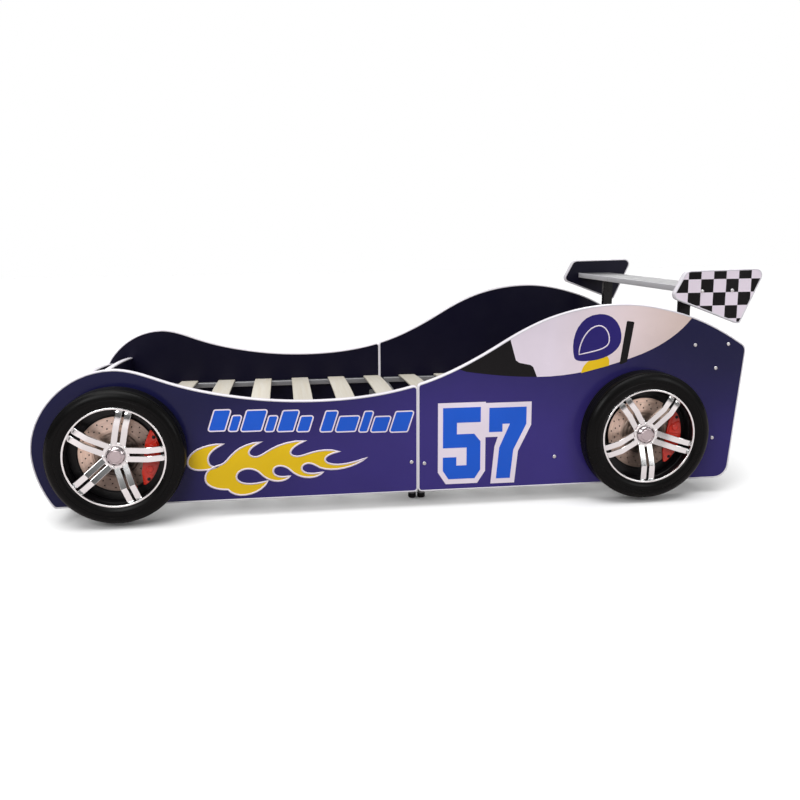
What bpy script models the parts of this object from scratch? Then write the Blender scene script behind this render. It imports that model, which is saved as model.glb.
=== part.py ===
"""A child's bed in the shape of an open racing car, as an assembly of boards, steel frames, slats and wheels.

Metres, +Z up. The nose points to -X, the tail and its wing to +X, and the left side is at -Y.
The origin lies on the floor, under the middle of the overall box.
"""

import math

import bmesh
import bpy
from mathutils import Matrix, Vector

# ---------------------------------------------------------------- driving dimensions
TOUCH = 0.0003  # gap between pieces that touch
SLIDE = 0.0005  # running gap round an axle

BOARD = 0.018  # thickness of every board
BOARD_ROUND = 0.0015  # rounding of the plain boards' edges
BED_LENGTH = 2.187  # side panels, nose to tail, measured at their longest
INNER_WIDTH = 0.920  # between the side panels
PANEL_LIFT = 0.052  # floor to the side panels' lower edge
JOINT_FROM_NOSE = 1.140  # where the front and rear side panels meet
JOINT_GAP = 0.002
JOINT_ROUND = 0.012  # corners of the panels at the joint

CREST_FROM_NOSE = 0.245  # the round crest over the front wheel
CREST_HEIGHT = 0.408  # heights on the side panels count from their lower edge
DIP_FROM_NOSE = 0.830
DIP_HEIGHT = 0.297
PEAK_FROM_TAIL = 0.412  # the high back over the rear wheel
PEAK_HEIGHT = 0.566
TAIL_SLANT = 0.040  # how far the tail edge leans forward at its foot
TAIL_FOOT_ROUND = 0.045
TAIL_TOP_ROUND = 0.028
TAIL_TOP_LEFT_OUT = 0.030  # the wave stops this far before the tail's top corner
WAVE_END = 0.001  # how far the wave's last mark lies behind the tail
CREST_SHOULDER = (0.155, 0.043, -0.35)  # behind the crest: distance, drop, slope
DIP_APPROACH = (0.230, 0.019, -0.165)  # in front of the dip: distance, rise, slope
JOINT_RISE = (0.038, 0.28)  # at the joint: rise over the dip, slope
BACK_CLIMB = (0.375, 0.111, 0.60)  # in front of the peak: distance, drop, slope
BACK_SHOULDER = (0.215, 0.034, 0.33)
TAIL_SHOULDER = (0.225, 0.043, -0.34)  # behind the peak
TAIL_SLOPE = (0.373, 0.116, -0.62)
TAIL_END = (0.142, -0.70)  # at the tail: drop from the peak, slope

NOSE_FOOT = 0.057  # lower front corner, behind the nose
NOSE_FOOT_ROUND = 0.010
NOSE_FOOT_LEAN = (0.030, 0.040)  # where its curve first heads: forward, up
NOSE_BELLY_HEIGHT = 0.170  # the nose's foremost point
NOSE_BELLY_LOWER = 0.060  # how long its curve stays upright below and above
NOSE_BELLY_UPPER = 0.115
CREST_LEAD = 0.140  # how long the crest's curve stays level in front

NOSE_PANEL_FROM_NOSE = 0.032  # its outer face
NOSE_PANEL_FOOT = 0.045
NOSE_PANEL_END = 0.276  # height of the arched top at the side panels
NOSE_PANEL_RISE = 0.030  # how much higher the arch is in the middle
FRONT_PANEL_FROM_NOSE = 0.125  # its inner face
FRONT_PANEL_FOOT = 0.020
FRONT_PANEL_END = 0.299
FRONT_PANEL_RISE = 0.024

HEADBOARD_FROM_TAIL = 0.103  # its inner face
HEADBOARD_FOOT = 0.030
DECK_FROM_TAIL = 0.205  # front edge of the rear deck
DECK_DEPTH = 0.178
DECK_HEIGHT = 0.422  # its lower face

STRUT_INSET = 0.152  # from a side panel's inner face to the strut's middle
STRUT_FROM_TAIL = 0.122  # its middle
STRUT_WIDTH = 0.038
WING_FROM_TAIL = 0.183  # front edge of the wing board
WING_CHORD = 0.136
WING_HEIGHT = 0.594  # its lower face

PLATE_FRONT_LOW = (0.252, -0.011, 0.018)  # end plate corners: in front of the tail, over the wing, rounding
PLATE_FRONT_TOP = (0.209, 0.070, 0.026)
PLATE_REAR_TOP = (-0.049, 0.074, 0.021)
PLATE_REAR_LOW = (0.029, -0.097, 0.009)

RAIL_SIZE = 0.020  # square steel tube
RAIL_WALL = 0.0015
RAIL_HEIGHT = 0.168  # its lower face
RAIL_JOINT_BEHIND = 0.0125  # the rails meet this far behind the panels' joint
RAIL_JOINT_GAP = 0.006  # between a front and a rear rail
BAR_SIZE = 0.020  # cross bar of a leg frame
LEG_DIAMETER = 0.022
LEG_INSET = 0.082  # from a side panel's inner face to the leg's middle
LEG_FROM_RAIL_JOINT = 0.0145  # the two middle leg frames stand this far from the rails' joint
FRONT_LEG_FROM_NOSE = 0.250
REAR_LEG_FROM_TAIL = 0.336

SLAT_COUNT = 13
SLAT_WIDTH = 0.068
SLAT_THICKNESS = 0.008
SLAT_ARCH = 0.018
SLAT_END_GAP = 0.003

JOINT_PLATE_LENGTH = 0.090
JOINT_PLATE_HEIGHT = 0.100
JOINT_PLATE_THICKNESS = 0.004
JOINT_PLATE_BELOW_BAR = 0.012  # its top edge under the legs' cross bars

FRONT_AXLE_FROM_NOSE = 0.2484
REAR_AXLE_FROM_TAIL = 0.3358
AXLE_RADIUS = 0.0100
TYRE_OFF_FLOOR = 0.014  # the bed stands on its legs, not on the tyres
TYRE_RADIUS = 0.200
TYRE_WIDTH = 0.062
TYRE_OFF_PANEL = 0.004
SHOULDER_RADIAL = 0.027  # the tyre's rounded front edge
SHOULDER_AXIAL = 0.023
HEEL = 0.005  # rounding of its back edge
SIDEWALL = 0.052  # from the tyre's tread to the rim
RIM_LIP = 0.0060  # width of the bright ring
RIM_FRONT = 0.0605  # the ring's front, off the panel
RIM_BACK = 0.0060
RIM_WALL = 0.004
BEAD = 0.007  # slope of the tyre's front face down to the ring
HUB_DEPTH = 0.0125
HUB_FRONT = 0.0365
SPOKE_PAIRS = 5
SPOKE_WIDTH = 0.0180
SPOKE_GAP = 0.0075
SPOKE_DEPTH = 0.010
SPOKE_CLEARANCE = 0.0025  # the spokes start this far outside the point where neighbouring pairs meet
SPOKE_IN_HUB = 0.0075  # length of a spoke that lies inside the hub
SPOKE_SINK = 0.0006  # how far its start lies below the hub's front
KNEE_FROM_RIM = 0.0542  # the spokes rise from the hub to this bend and fall a little to the rim
KNEE_FRONT = 0.0611
SPOKE_END_FRONT = 0.0575
CAP_INSET = 0.0125  # from the hub's edge
CAP_HEIGHT = 0.009
AXLE_SUNK = 0.002  # the axle's end behind the hub's front
BACKPLATE_INSET = 0.001  # from the rim's outside
BACKPLATE_THICKNESS = 0.003
DISC_INSET = 0.036  # from the rim's outside
DISC_THICKNESS = 0.006
DISC_FRONT = 0.0140
DISC_EYE = 0.070  # inner radius of the braking ring's step
DISC_HAT_RADIUS = 0.062
DISC_HAT_RISE = 0.003
DISC_BORE = 0.016
CALIPER_INNER = 0.076  # from the axle to its straight inner edge
CALIPER_INNER_HALF = 0.047  # half the length of that edge
CALIPER_INSET = 0.0245  # its outer edge, from the rim's outside
CALIPER_HALF_ANGLE = 42.0  # degrees
CALIPER_TIP = 0.0065  # how much its ends narrow at the outer edge
CALIPER_TURN = -9.0
CALIPER_FRONT = 0.0200
DISC_CLEARANCE = 0.0010  # caliper to disc
FRONT_SPOKE_TURN = 3.5  # degrees from the tailward direction, at rest
REAR_SPOKE_TURN = 54.6

CURVE_STEP = 0.017  # spacing of points along the panels' waves
ROUND_STEPS = 6  # points on a rounded corner
TURN_STEPS = 40  # sides of the tyre and rim
SMALL_TURN_STEPS = 32

# ---------------------------------------------------------------- derived places
HALF_INNER = INNER_WIDTH / 2
HALF_OUTER = HALF_INNER + BOARD
RAIL_JOINT_FROM_NOSE = JOINT_FROM_NOSE + RAIL_JOINT_BEHIND
JOINT_PLATE_FOOT = RAIL_HEIGHT - BAR_SIZE - JOINT_PLATE_BELOW_BAR - JOINT_PLATE_HEIGHT
AXLE_HEIGHT = TYRE_RADIUS + TYRE_OFF_FLOOR - PANEL_LIFT
RIM_RADIUS = TYRE_RADIUS - SIDEWALL
KNEE_RADIUS = RIM_RADIUS - KNEE_FROM_RIM
SPOKES_MEET = (SPOKE_WIDTH + SPOKE_GAP / 2) / math.tan(math.pi / SPOKE_PAIRS)
SPOKE_START = SPOKES_MEET + SPOKE_CLEARANCE
SPOKE_END = math.sqrt((RIM_RADIUS - RIM_WALL / 2) ** 2 - (SPOKE_WIDTH + SPOKE_GAP / 2) ** 2)  # in the rim's wall
HUB_RADIUS = SPOKE_START + SPOKE_IN_HUB
CAP_RADIUS = HUB_RADIUS - CAP_INSET
BACKPLATE_RADIUS = RIM_RADIUS - BACKPLATE_INSET
DISC_RADIUS = RIM_RADIUS - DISC_INSET
CALIPER_OUTER = RIM_RADIUS - CALIPER_INSET
SIDES = (("left", -1), ("right", 1))
PARTS = "racing_car_bed"
HELPERS = "helpers"

COLOURS = {
    "panel_blue": ((0.036, 0.030, 0.160), 0.30, 0.0),
    "inner_navy": ((0.012, 0.011, 0.022), 0.45, 0.0),
    "slat_cream": ((0.760, 0.700, 0.590), 0.60, 0.0),
    "steel_grey": ((0.340, 0.340, 0.350), 0.40, 0.8),
    "strut_black": ((0.012, 0.012, 0.014), 0.40, 0.0),
    "wing_silver": ((0.480, 0.480, 0.520), 0.30, 0.3),
    "tyre_black": ((0.012, 0.012, 0.013), 0.35, 0.0),
    "chrome": ((0.800, 0.800, 0.800), 0.10, 1.0),
    "disc_steel": ((0.480, 0.380, 0.330), 0.35, 0.9),
    "caliper_red": ((0.760, 0.040, 0.015), 0.30, 0.0),
    "backing_black": ((0.015, 0.013, 0.014), 0.60, 0.0),
}


def from_tail(distance):
    """Distance from the nose of a point that is measured forward from the tail."""
    return BED_LENGTH - distance


def world_x(from_nose):
    return from_nose - centre_from_nose()


# ---------------------------------------------------------------- scene and helpers
def clear_scene():
    for thing in list(bpy.data.objects):
        bpy.data.objects.remove(thing, do_unlink=True)


def collection(name):
    made = bpy.data.collections.new(name)
    bpy.context.scene.collection.children.link(made)
    return made


def material(name):
    if name in bpy.data.materials:
        return bpy.data.materials[name]
    colour, roughness, metallic = COLOURS[name]
    made = bpy.data.materials.new(name)
    made.use_nodes = True
    shader = made.node_tree.nodes["Principled BSDF"]
    shader.inputs["Base Color"].default_value = (*colour, 1.0)
    shader.inputs["Roughness"].default_value = roughness
    shader.inputs["Metallic"].default_value = metallic
    made.diffuse_color = (*colour, 1.0)
    return made


def add(name, data, finish):
    piece = bpy.data.objects.new(name, data)
    bpy.data.collections[PARTS].objects.link(piece)
    data.materials.append(material(finish))
    return piece


def add_helper(name, data):
    """A shape that is only cut from a piece or joined to it."""
    helper = bpy.data.objects.new(name, data)
    bpy.data.collections[HELPERS].objects.link(helper)
    helper.hide_render = True
    helper.display_type = "WIRE"
    return helper


def combine(piece, helper, operation):
    step = piece.modifiers.new(operation.lower(), "BOOLEAN")
    step.operation = operation
    step.object = helper
    step.solver = "EXACT"


def soften(piece):
    step = piece.modifiers.new("soften", "BEVEL")
    step.width = BOARD_ROUND
    step.segments = 2
    step.limit_method = "ANGLE"


def flat_curve(name, outlines, thickness):
    """A board of this thickness with the given closed outlines, lying in its own XY plane."""
    curve = bpy.data.curves.new(name, "CURVE")
    curve.dimensions = "2D"
    curve.fill_mode = "BOTH"
    curve.extrude = thickness / 2
    for outline in outlines:
        spline = curve.splines.new("POLY")
        spline.points.add(len(outline) - 1)
        for point, (x, y) in zip(spline.points, outline):
            point.co = (x, y, 0.0, 1.0)
        spline.use_cyclic_u = True
    return curve


def box_mesh(name, low, high):
    form = bmesh.new()
    size = [b - a for a, b in zip(low, high)]
    middle = [(a + b) / 2 for a, b in zip(low, high)]
    place = Matrix.Translation(middle) @ Matrix.Diagonal((*size, 1.0))
    bmesh.ops.create_cube(form, size=1.0, matrix=place)
    mesh = bpy.data.meshes.new(name)
    form.to_mesh(mesh)
    form.free()
    return mesh


def rod_mesh(name, radius, low, high, sides):
    """An upright rod about its own Z axis."""
    form = bmesh.new()
    place = Matrix.Translation((0.0, 0.0, (low + high) / 2))
    bmesh.ops.create_cone(
        form, cap_ends=True, segments=sides, radius1=radius, radius2=radius, depth=high - low, matrix=place
    )
    mesh = bpy.data.meshes.new(name)
    form.to_mesh(mesh)
    form.free()
    return mesh


def profile_mesh(name, profile, closed):
    """A line through points (radius, height), for add_screw to turn about its Z axis."""
    mesh = bpy.data.meshes.new(name)
    edges = [(i, i + 1) for i in range(len(profile) - 1)]
    if closed:
        edges.append((len(profile) - 1, 0))
    mesh.from_pydata([(radius, 0.0, height) for radius, height in profile], edges, [])
    return mesh


def add_screw(piece, sides):
    step = piece.modifiers.new("turn", "SCREW")
    step.steps = sides
    step.render_steps = sides
    step.use_merge_vertices = True
    step.merge_threshold = 0.00005
    step.use_smooth_shade = True


# ---------------------------------------------------------------- outlines
def rounded(corners):
    """The outline with each corner (x, y, radius) turned into an arc that is tangent to its two sides."""
    points = []
    for i, (x, y, radius) in enumerate(corners):
        corner = Vector((x, y))
        if radius <= 0.0:
            points.append((x, y))
            continue
        before = (Vector(corners[i - 1][:2]) - corner).normalized()
        after = (Vector(corners[(i + 1) % len(corners)][:2]) - corner).normalized()
        half = before.angle(after) / 2
        reach = radius / math.tan(half)
        centre = corner + (before + after).normalized() * (radius / math.sin(half))
        start = corner + before * reach - centre
        end = corner + after * reach - centre
        sweep = start.angle_signed(end)
        for k in range(ROUND_STEPS + 1):
            turn = Matrix.Rotation(-sweep * k / ROUND_STEPS, 2)
            spot = centre + turn @ start
            points.append((spot.x, spot.y))
    return points


def bezier(start, out, into, end, count):
    """Points after the start of a cubic curve, up to and with its end."""
    points = []
    for k in range(1, count + 1):
        t = k / count
        s = 1.0 - t
        weights = (s**3, 3 * s * s * t, 3 * s * t * t, t**3)
        points.append(
            tuple(sum(w * p[axis] for w, p in zip(weights, (start, out, into, end))) for axis in (0, 1))
        )
    return points


def wave_knots():
    """(distance from the nose, height, slope) along the side panels' top edge."""
    peak = from_tail(PEAK_FROM_TAIL)

    def beside(place, height, mark, way, lift):
        distance, change, slope = mark
        return (place + way * distance, height + lift * change, slope)

    return (
        (CREST_FROM_NOSE, CREST_HEIGHT, 0.0),
        beside(CREST_FROM_NOSE, CREST_HEIGHT, CREST_SHOULDER, 1, -1),
        beside(DIP_FROM_NOSE, DIP_HEIGHT, DIP_APPROACH, -1, 1),
        (DIP_FROM_NOSE, DIP_HEIGHT, 0.0),
        (JOINT_FROM_NOSE, DIP_HEIGHT + JOINT_RISE[0], JOINT_RISE[1]),
        beside(peak, PEAK_HEIGHT, BACK_CLIMB, -1, -1),
        beside(peak, PEAK_HEIGHT, BACK_SHOULDER, -1, -1),
        (peak, PEAK_HEIGHT, 0.0),
        beside(peak, PEAK_HEIGHT, TAIL_SHOULDER, 1, -1),
        beside(peak, PEAK_HEIGHT, TAIL_SLOPE, 1, -1),
        (BED_LENGTH + WAVE_END, PEAK_HEIGHT - TAIL_END[0], TAIL_END[1]),
    )


def wave_height(x):
    knots = wave_knots()
    for (x0, z0, slope0), (x1, z1, slope1) in zip(knots, knots[1:]):
        if x <= x1:
            break
    span = x1 - x0
    t = (x - x0) / span
    rise = (2 * t**3 - 3 * t**2 + 1) * z0 + (3 * t**2 - 2 * t**3) * z1
    lean = (t**3 - 2 * t**2 + t) * slope0 + (t**3 - t**2) * slope1
    return rise + lean * span


def wave(start, end):
    """Points of the top edge between two distances from the nose, both left out."""
    count = max(2, round((end - start) / CURVE_STEP))
    stops = [start + (end - start) * k / count for k in range(1, count)]
    return [(x, wave_height(x), 0.0) for x in stops]


def front_side_outline():
    """Clockwise from the lower front corner, seen from the left."""
    foot = (NOSE_FOOT, 0.0)
    foot_lead = (NOSE_FOOT - NOSE_FOOT_LEAN[0], NOSE_FOOT_LEAN[1])
    belly = (0.0, NOSE_BELLY_HEIGHT)
    crest = (CREST_FROM_NOSE, CREST_HEIGHT)
    end = JOINT_FROM_NOSE - JOINT_GAP / 2
    lower = bezier(foot, foot_lead, (0.0, NOSE_BELLY_HEIGHT - NOSE_BELLY_LOWER), belly, 8)
    belly_lead = (0.0, NOSE_BELLY_HEIGHT + NOSE_BELLY_UPPER)
    upper = bezier(belly, belly_lead, (CREST_FROM_NOSE - CREST_LEAD, CREST_HEIGHT), crest, 16)
    nose = [(x, z, 0.0) for x, z in lower + upper]
    top_corner = (end, wave_height(end), JOINT_ROUND)
    low_corner = (end, 0.0, JOINT_ROUND)
    return rounded([(*foot, NOSE_FOOT_ROUND), *nose, *wave(CREST_FROM_NOSE, end), top_corner, low_corner])


def rear_side_outline():
    start = JOINT_FROM_NOSE + JOINT_GAP / 2
    tail_top = (BED_LENGTH, wave_height(BED_LENGTH), TAIL_TOP_ROUND)
    tail_foot = (BED_LENGTH - TAIL_SLANT, 0.0, TAIL_FOOT_ROUND)
    joint = ((start, 0.0, JOINT_ROUND), (start, wave_height(start), JOINT_ROUND))
    return rounded([*joint, *wave(start, BED_LENGTH - TAIL_TOP_LEFT_OUT), tail_top, tail_foot])


def end_plate_outline():
    marks = (PLATE_FRONT_LOW, PLATE_FRONT_TOP, PLATE_REAR_TOP, PLATE_REAR_LOW)
    return rounded([(from_tail(ahead), WING_HEIGHT + above, radius) for ahead, above, radius in marks])


def centre_from_nose():
    """The middle of the overall length, which ends at the end plates' rear tips."""
    return max(x for x, height in end_plate_outline()) / 2


def arch_outline(foot, end, rise, count=20):
    """A cross board: straight foot and sides, and an arched top."""
    half = HALF_INNER - TOUCH
    top = []
    for k in range(count + 1):
        y = -half + 2 * half * k / count
        top.append((y, end + rise * (1.0 - (y / half) ** 2)))
    return [(-half, foot), *top, (half, foot)]


def slat_outline(base, count=12):
    """The side view of an arched slat whose ends rest at the base height."""
    half = HALF_INNER - SLAT_END_GAP
    stops = [-half + 2 * half * k / count for k in range(count + 1)]
    under = [(y, base + SLAT_ARCH * (1.0 - (y / half) ** 2)) for y in stops]
    return under + [(y, z + SLAT_THICKNESS) for y, z in reversed(under)]


def square_ring(size, wall):
    half = size / 2
    inner = half - wall
    return [[(-a, -a), (a, -a), (a, a), (-a, a)] for a in (half, inner)]


# ---------------------------------------------------------------- boards
def along(piece, y):
    """Stands an outline of (distance from the nose, height) upright, parallel to the bed's side."""
    piece.rotation_euler = (math.pi / 2, 0.0, 0.0)
    piece.location = (world_x(0.0), y, PANEL_LIFT)


def across(piece, from_nose, height=PANEL_LIFT, y=0.0):
    """Stands an outline of (sideways, height) upright across the bed; from_nose is its mid-thickness."""
    piece.rotation_euler = (math.pi / 2, 0.0, math.pi / 2)
    piece.location = (world_x(from_nose), y, height)


def build_sides():
    outlines = {"side_front": front_side_outline(), "side_rear": rear_side_outline()}
    outlines["wing_end_plate"] = end_plate_outline()
    for label, sign in SIDES:
        for part, outline in outlines.items():
            name = f"{part}_{label}"
            piece = add(name, flat_curve(name, [outline], BOARD), "panel_blue")
            along(piece, sign * (HALF_INNER + BOARD / 2))


def build_joint_plates():
    for label, sign in SIDES:
        inner = sign * (HALF_INNER - TOUCH)
        other = sign * (HALF_INNER - TOUCH - JOINT_PLATE_THICKNESS)
        middle = world_x(JOINT_FROM_NOSE)
        low = (middle - JOINT_PLATE_LENGTH / 2, min(inner, other), PANEL_LIFT + JOINT_PLATE_FOOT)
        high = (middle + JOINT_PLATE_LENGTH / 2, max(inner, other), low[2] + JOINT_PLATE_HEIGHT)
        name = f"joint_plate_{label}"
        add(name, box_mesh(name, low, high), "steel_grey")


def build_cross_boards():
    nose = arch_outline(NOSE_PANEL_FOOT, NOSE_PANEL_END, NOSE_PANEL_RISE)
    across(
        add("nose_panel", flat_curve("nose_panel", [nose], BOARD), "panel_blue"),
        NOSE_PANEL_FROM_NOSE + BOARD / 2,
    )
    front = arch_outline(FRONT_PANEL_FOOT, FRONT_PANEL_END, FRONT_PANEL_RISE)
    across(
        add("front_panel", flat_curve("front_panel", [front], BOARD), "inner_navy"),
        FRONT_PANEL_FROM_NOSE - BOARD / 2,
    )
    half = HALF_INNER - TOUCH
    head_x = world_x(from_tail(HEADBOARD_FROM_TAIL))
    deck_x = world_x(from_tail(DECK_FROM_TAIL))
    wing_x = world_x(from_tail(WING_FROM_TAIL))
    deck_z = PANEL_LIFT + DECK_HEIGHT
    wing_z = PANEL_LIFT + WING_HEIGHT
    boards = (
        ("headboard", head_x, BOARD, PANEL_LIFT + HEADBOARD_FOOT, deck_z - TOUCH, "inner_navy"),
        ("rear_deck", deck_x, DECK_DEPTH, deck_z, deck_z + BOARD, "inner_navy"),
        ("wing_board", wing_x, WING_CHORD, wing_z, wing_z + BOARD, "wing_silver"),
    )
    for name, front_x, depth, low_z, high_z, finish in boards:
        soften(add(name, box_mesh(name, (front_x, -half, low_z), (front_x + depth, half, high_z)), finish))


def build_struts():
    foot = DECK_HEIGHT + BOARD + TOUCH
    top = WING_HEIGHT - TOUCH
    middle = from_tail(STRUT_FROM_TAIL)
    for label, sign in SIDES:
        name = f"wing_strut_{label}"
        y = sign * (HALF_INNER - STRUT_INSET)
        low = (world_x(middle) - STRUT_WIDTH / 2, y - BOARD / 2, PANEL_LIFT + foot)
        high = (low[0] + STRUT_WIDTH, low[1] + BOARD, PANEL_LIFT + top)
        soften(add(name, box_mesh(name, low, high), "strut_black"))


# ---------------------------------------------------------------- slatted base
def build_rails():
    spans = {
        "rail_front": (FRONT_PANEL_FROM_NOSE + TOUCH, RAIL_JOINT_FROM_NOSE - RAIL_JOINT_GAP / 2),
        "rail_rear": (RAIL_JOINT_FROM_NOSE + RAIL_JOINT_GAP / 2, from_tail(HEADBOARD_FROM_TAIL) - TOUCH),
    }
    height = PANEL_LIFT + RAIL_HEIGHT + RAIL_SIZE / 2
    for part, (start, end) in spans.items():
        for label, sign in SIDES:
            name = f"{part}_{label}"
            tube = flat_curve(name, square_ring(RAIL_SIZE, RAIL_WALL), end - start)
            y = sign * (HALF_INNER - TOUCH - RAIL_SIZE / 2)
            across(add(name, tube, "steel_grey"), (start + end) / 2, height, y)


def build_leg_frames():
    places = {
        "leg_frame_front": FRONT_LEG_FROM_NOSE,
        "leg_frame_mid_front": RAIL_JOINT_FROM_NOSE - LEG_FROM_RAIL_JOINT,
        "leg_frame_mid_rear": RAIL_JOINT_FROM_NOSE + LEG_FROM_RAIL_JOINT,
        "leg_frame_rear": from_tail(REAR_LEG_FROM_TAIL),
    }
    top = PANEL_LIFT + RAIL_HEIGHT - TOUCH
    half = HALF_INNER - TOUCH
    for name, from_nose in places.items():
        x = world_x(from_nose)
        low = (x - BAR_SIZE / 2, -half, top - BAR_SIZE)
        high = (x + BAR_SIZE / 2, half, top)
        frame = add(name, box_mesh(name, low, high), "steel_grey")
        for label, sign in SIDES:
            helper_name = f"{name}_{label}_leg"
            rod = rod_mesh(helper_name, LEG_DIAMETER / 2, 0.0, top - BAR_SIZE / 2, 14)
            leg = add_helper(helper_name, rod)
            leg.location = (x, sign * (HALF_INNER - LEG_INSET), 0.0)
            combine(frame, leg, "UNION")


def build_slats():
    start = FRONT_PANEL_FROM_NOSE
    pitch = (from_tail(HEADBOARD_FROM_TAIL) - start) / SLAT_COUNT
    outline = slat_outline(RAIL_HEIGHT + RAIL_SIZE + TOUCH)
    for number in range(SLAT_COUNT):
        name = f"slat_{number + 1:02d}"
        slat = add(name, flat_curve(name, [outline], SLAT_WIDTH), "slat_cream")
        across(slat, start + pitch * (number + 0.5))


# ---------------------------------------------------------------- wheels
def arc(centre, radii, start, end, count):
    """Points on an elliptic arc, angles in degrees."""
    points = []
    for k in range(count + 1):
        angle = math.radians(start + (end - start) * k / count)
        points.append((centre[0] + radii[0] * math.cos(angle), centre[1] + radii[1] * math.sin(angle)))
    return points


def tyre_profile():
    bore = RIM_RADIUS + TOUCH
    back = TYRE_OFF_PANEL
    front = back + TYRE_WIDTH
    shoulder = (SHOULDER_RADIAL, SHOULDER_AXIAL)
    bead = [(bore, front - BEAD), (bore + BEAD, front - BEAD / 2)]
    front_round = arc((TYRE_RADIUS - SHOULDER_RADIAL, front - SHOULDER_AXIAL), shoulder, 90, 0, 4)
    back_round = arc((TYRE_RADIUS - HEEL, back + HEEL), (HEEL, HEEL), 0, -90, 2)
    return [*bead, *front_round, *back_round, (bore, back)]


def rim_profile():
    lip = RIM_RADIUS - RIM_LIP
    well = RIM_RADIUS - RIM_WALL
    return [(lip, RIM_FRONT), (RIM_RADIUS, RIM_FRONT), (RIM_RADIUS, RIM_BACK), (well, RIM_BACK),
            (well, RIM_FRONT - RIM_LIP), (lip, RIM_FRONT - RIM_WALL)]


def hub_profile():
    back = HUB_FRONT - HUB_DEPTH
    bore = AXLE_RADIUS + SLIDE
    return [(bore, HUB_FRONT), (HUB_RADIUS, HUB_FRONT), (HUB_RADIUS, back), (bore, back)]


def spokes_mesh(name):
    """Pairs of bars, each rising from inside the hub to the knee and on to inside the rim's wall."""
    front = [
        (SPOKE_START, HUB_FRONT - SPOKE_SINK),
        (KNEE_RADIUS, KNEE_FRONT),
        (SPOKE_END, SPOKE_END_FRONT),
    ]
    outline = front + [(radius, height - SPOKE_DEPTH) for radius, height in reversed(front)]
    count = len(outline)
    walls = [(k, (k + 1) % count, (k + 1) % count + count, k + count) for k in range(count)]
    inner_quads = [(0, 5, 4, 1), (1, 4, 3, 2)]
    outer_quads = [tuple(k + count for k in reversed(quad)) for quad in inner_quads]
    offset = (SPOKE_GAP + SPOKE_WIDTH) / 2
    form = bmesh.new()
    for number in range(SPOKE_PAIRS):
        turn = Matrix.Rotation(2 * math.pi * number / SPOKE_PAIRS, 4, "Z")
        for middle in (-offset, offset):
            sides = (middle - SPOKE_WIDTH / 2, middle + SPOKE_WIDTH / 2)
            corners = [form.verts.new(turn @ Vector((r, side, z))) for side in sides for r, z in outline]
            for quad in walls + inner_quads + outer_quads:
                form.faces.new([corners[k] for k in quad])
    bmesh.ops.recalc_face_normals(form, faces=form.faces)
    mesh = bpy.data.meshes.new(name)
    form.to_mesh(mesh)
    form.free()
    return mesh


def backplate_profile():
    face = TOUCH + BACKPLATE_THICKNESS
    axle_end = HUB_FRONT - AXLE_SUNK
    return [(0.0, axle_end), (AXLE_RADIUS, axle_end), (AXLE_RADIUS, face),
            (BACKPLATE_RADIUS, face), (BACKPLATE_RADIUS, TOUCH), (0.0, TOUCH)]


def brake_disc_profile():
    seat = 2 * TOUCH + BACKPLATE_THICKNESS
    back = DISC_FRONT - DISC_THICKNESS
    hat_front = DISC_FRONT + DISC_HAT_RISE
    return [(DISC_BORE, hat_front), (DISC_HAT_RADIUS, hat_front), (DISC_EYE, DISC_FRONT),
            (DISC_RADIUS, DISC_FRONT), (DISC_RADIUS, back), (DISC_HAT_RADIUS, back),
            (DISC_HAT_RADIUS, seat), (DISC_BORE, seat)]


def centre_cap_profile():
    seat = HUB_FRONT + TOUCH
    return [(0.0, seat + CAP_HEIGHT), (CAP_RADIUS * 0.65, seat + CAP_HEIGHT * 0.9),
            (CAP_RADIUS, seat + CAP_HEIGHT * 0.35), (CAP_RADIUS, seat), (0.0, seat)]


def caliper_curve(name):
    outer = arc((0.0, 0.0), (CALIPER_OUTER,) * 2, -CALIPER_HALF_ANGLE, CALIPER_HALF_ANGLE, 10)
    tip_x, tip_y = outer[-1]
    inner = [
        (tip_x - CALIPER_TIP, tip_y),
        (CALIPER_INNER, CALIPER_INNER_HALF),
        (CALIPER_INNER, -CALIPER_INNER_HALF),
        (tip_x - CALIPER_TIP, -tip_y),
    ]
    seat = 2 * TOUCH + BACKPLATE_THICKNESS
    return flat_curve(name, [outer + inner], CALIPER_FRONT - seat), (CALIPER_FRONT + seat) / 2


def solid_from_curve(name, curve, height):
    """The curve as a mesh with its caps welded on, moved up its own Z axis."""
    guide = bpy.data.objects.new(name, curve)
    bpy.context.scene.collection.objects.link(guide)
    graph = bpy.context.evaluated_depsgraph_get()
    mesh = bpy.data.meshes.new_from_object(guide.evaluated_get(graph))
    bpy.data.objects.remove(guide, do_unlink=True)
    form = bmesh.new()
    form.from_mesh(mesh)
    bmesh.ops.remove_doubles(form, verts=form.verts, dist=0.00001)
    bmesh.ops.translate(form, verts=form.verts, vec=(0.0, 0.0, height))
    form.to_mesh(mesh)
    form.free()
    mesh.name = name
    return mesh


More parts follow.
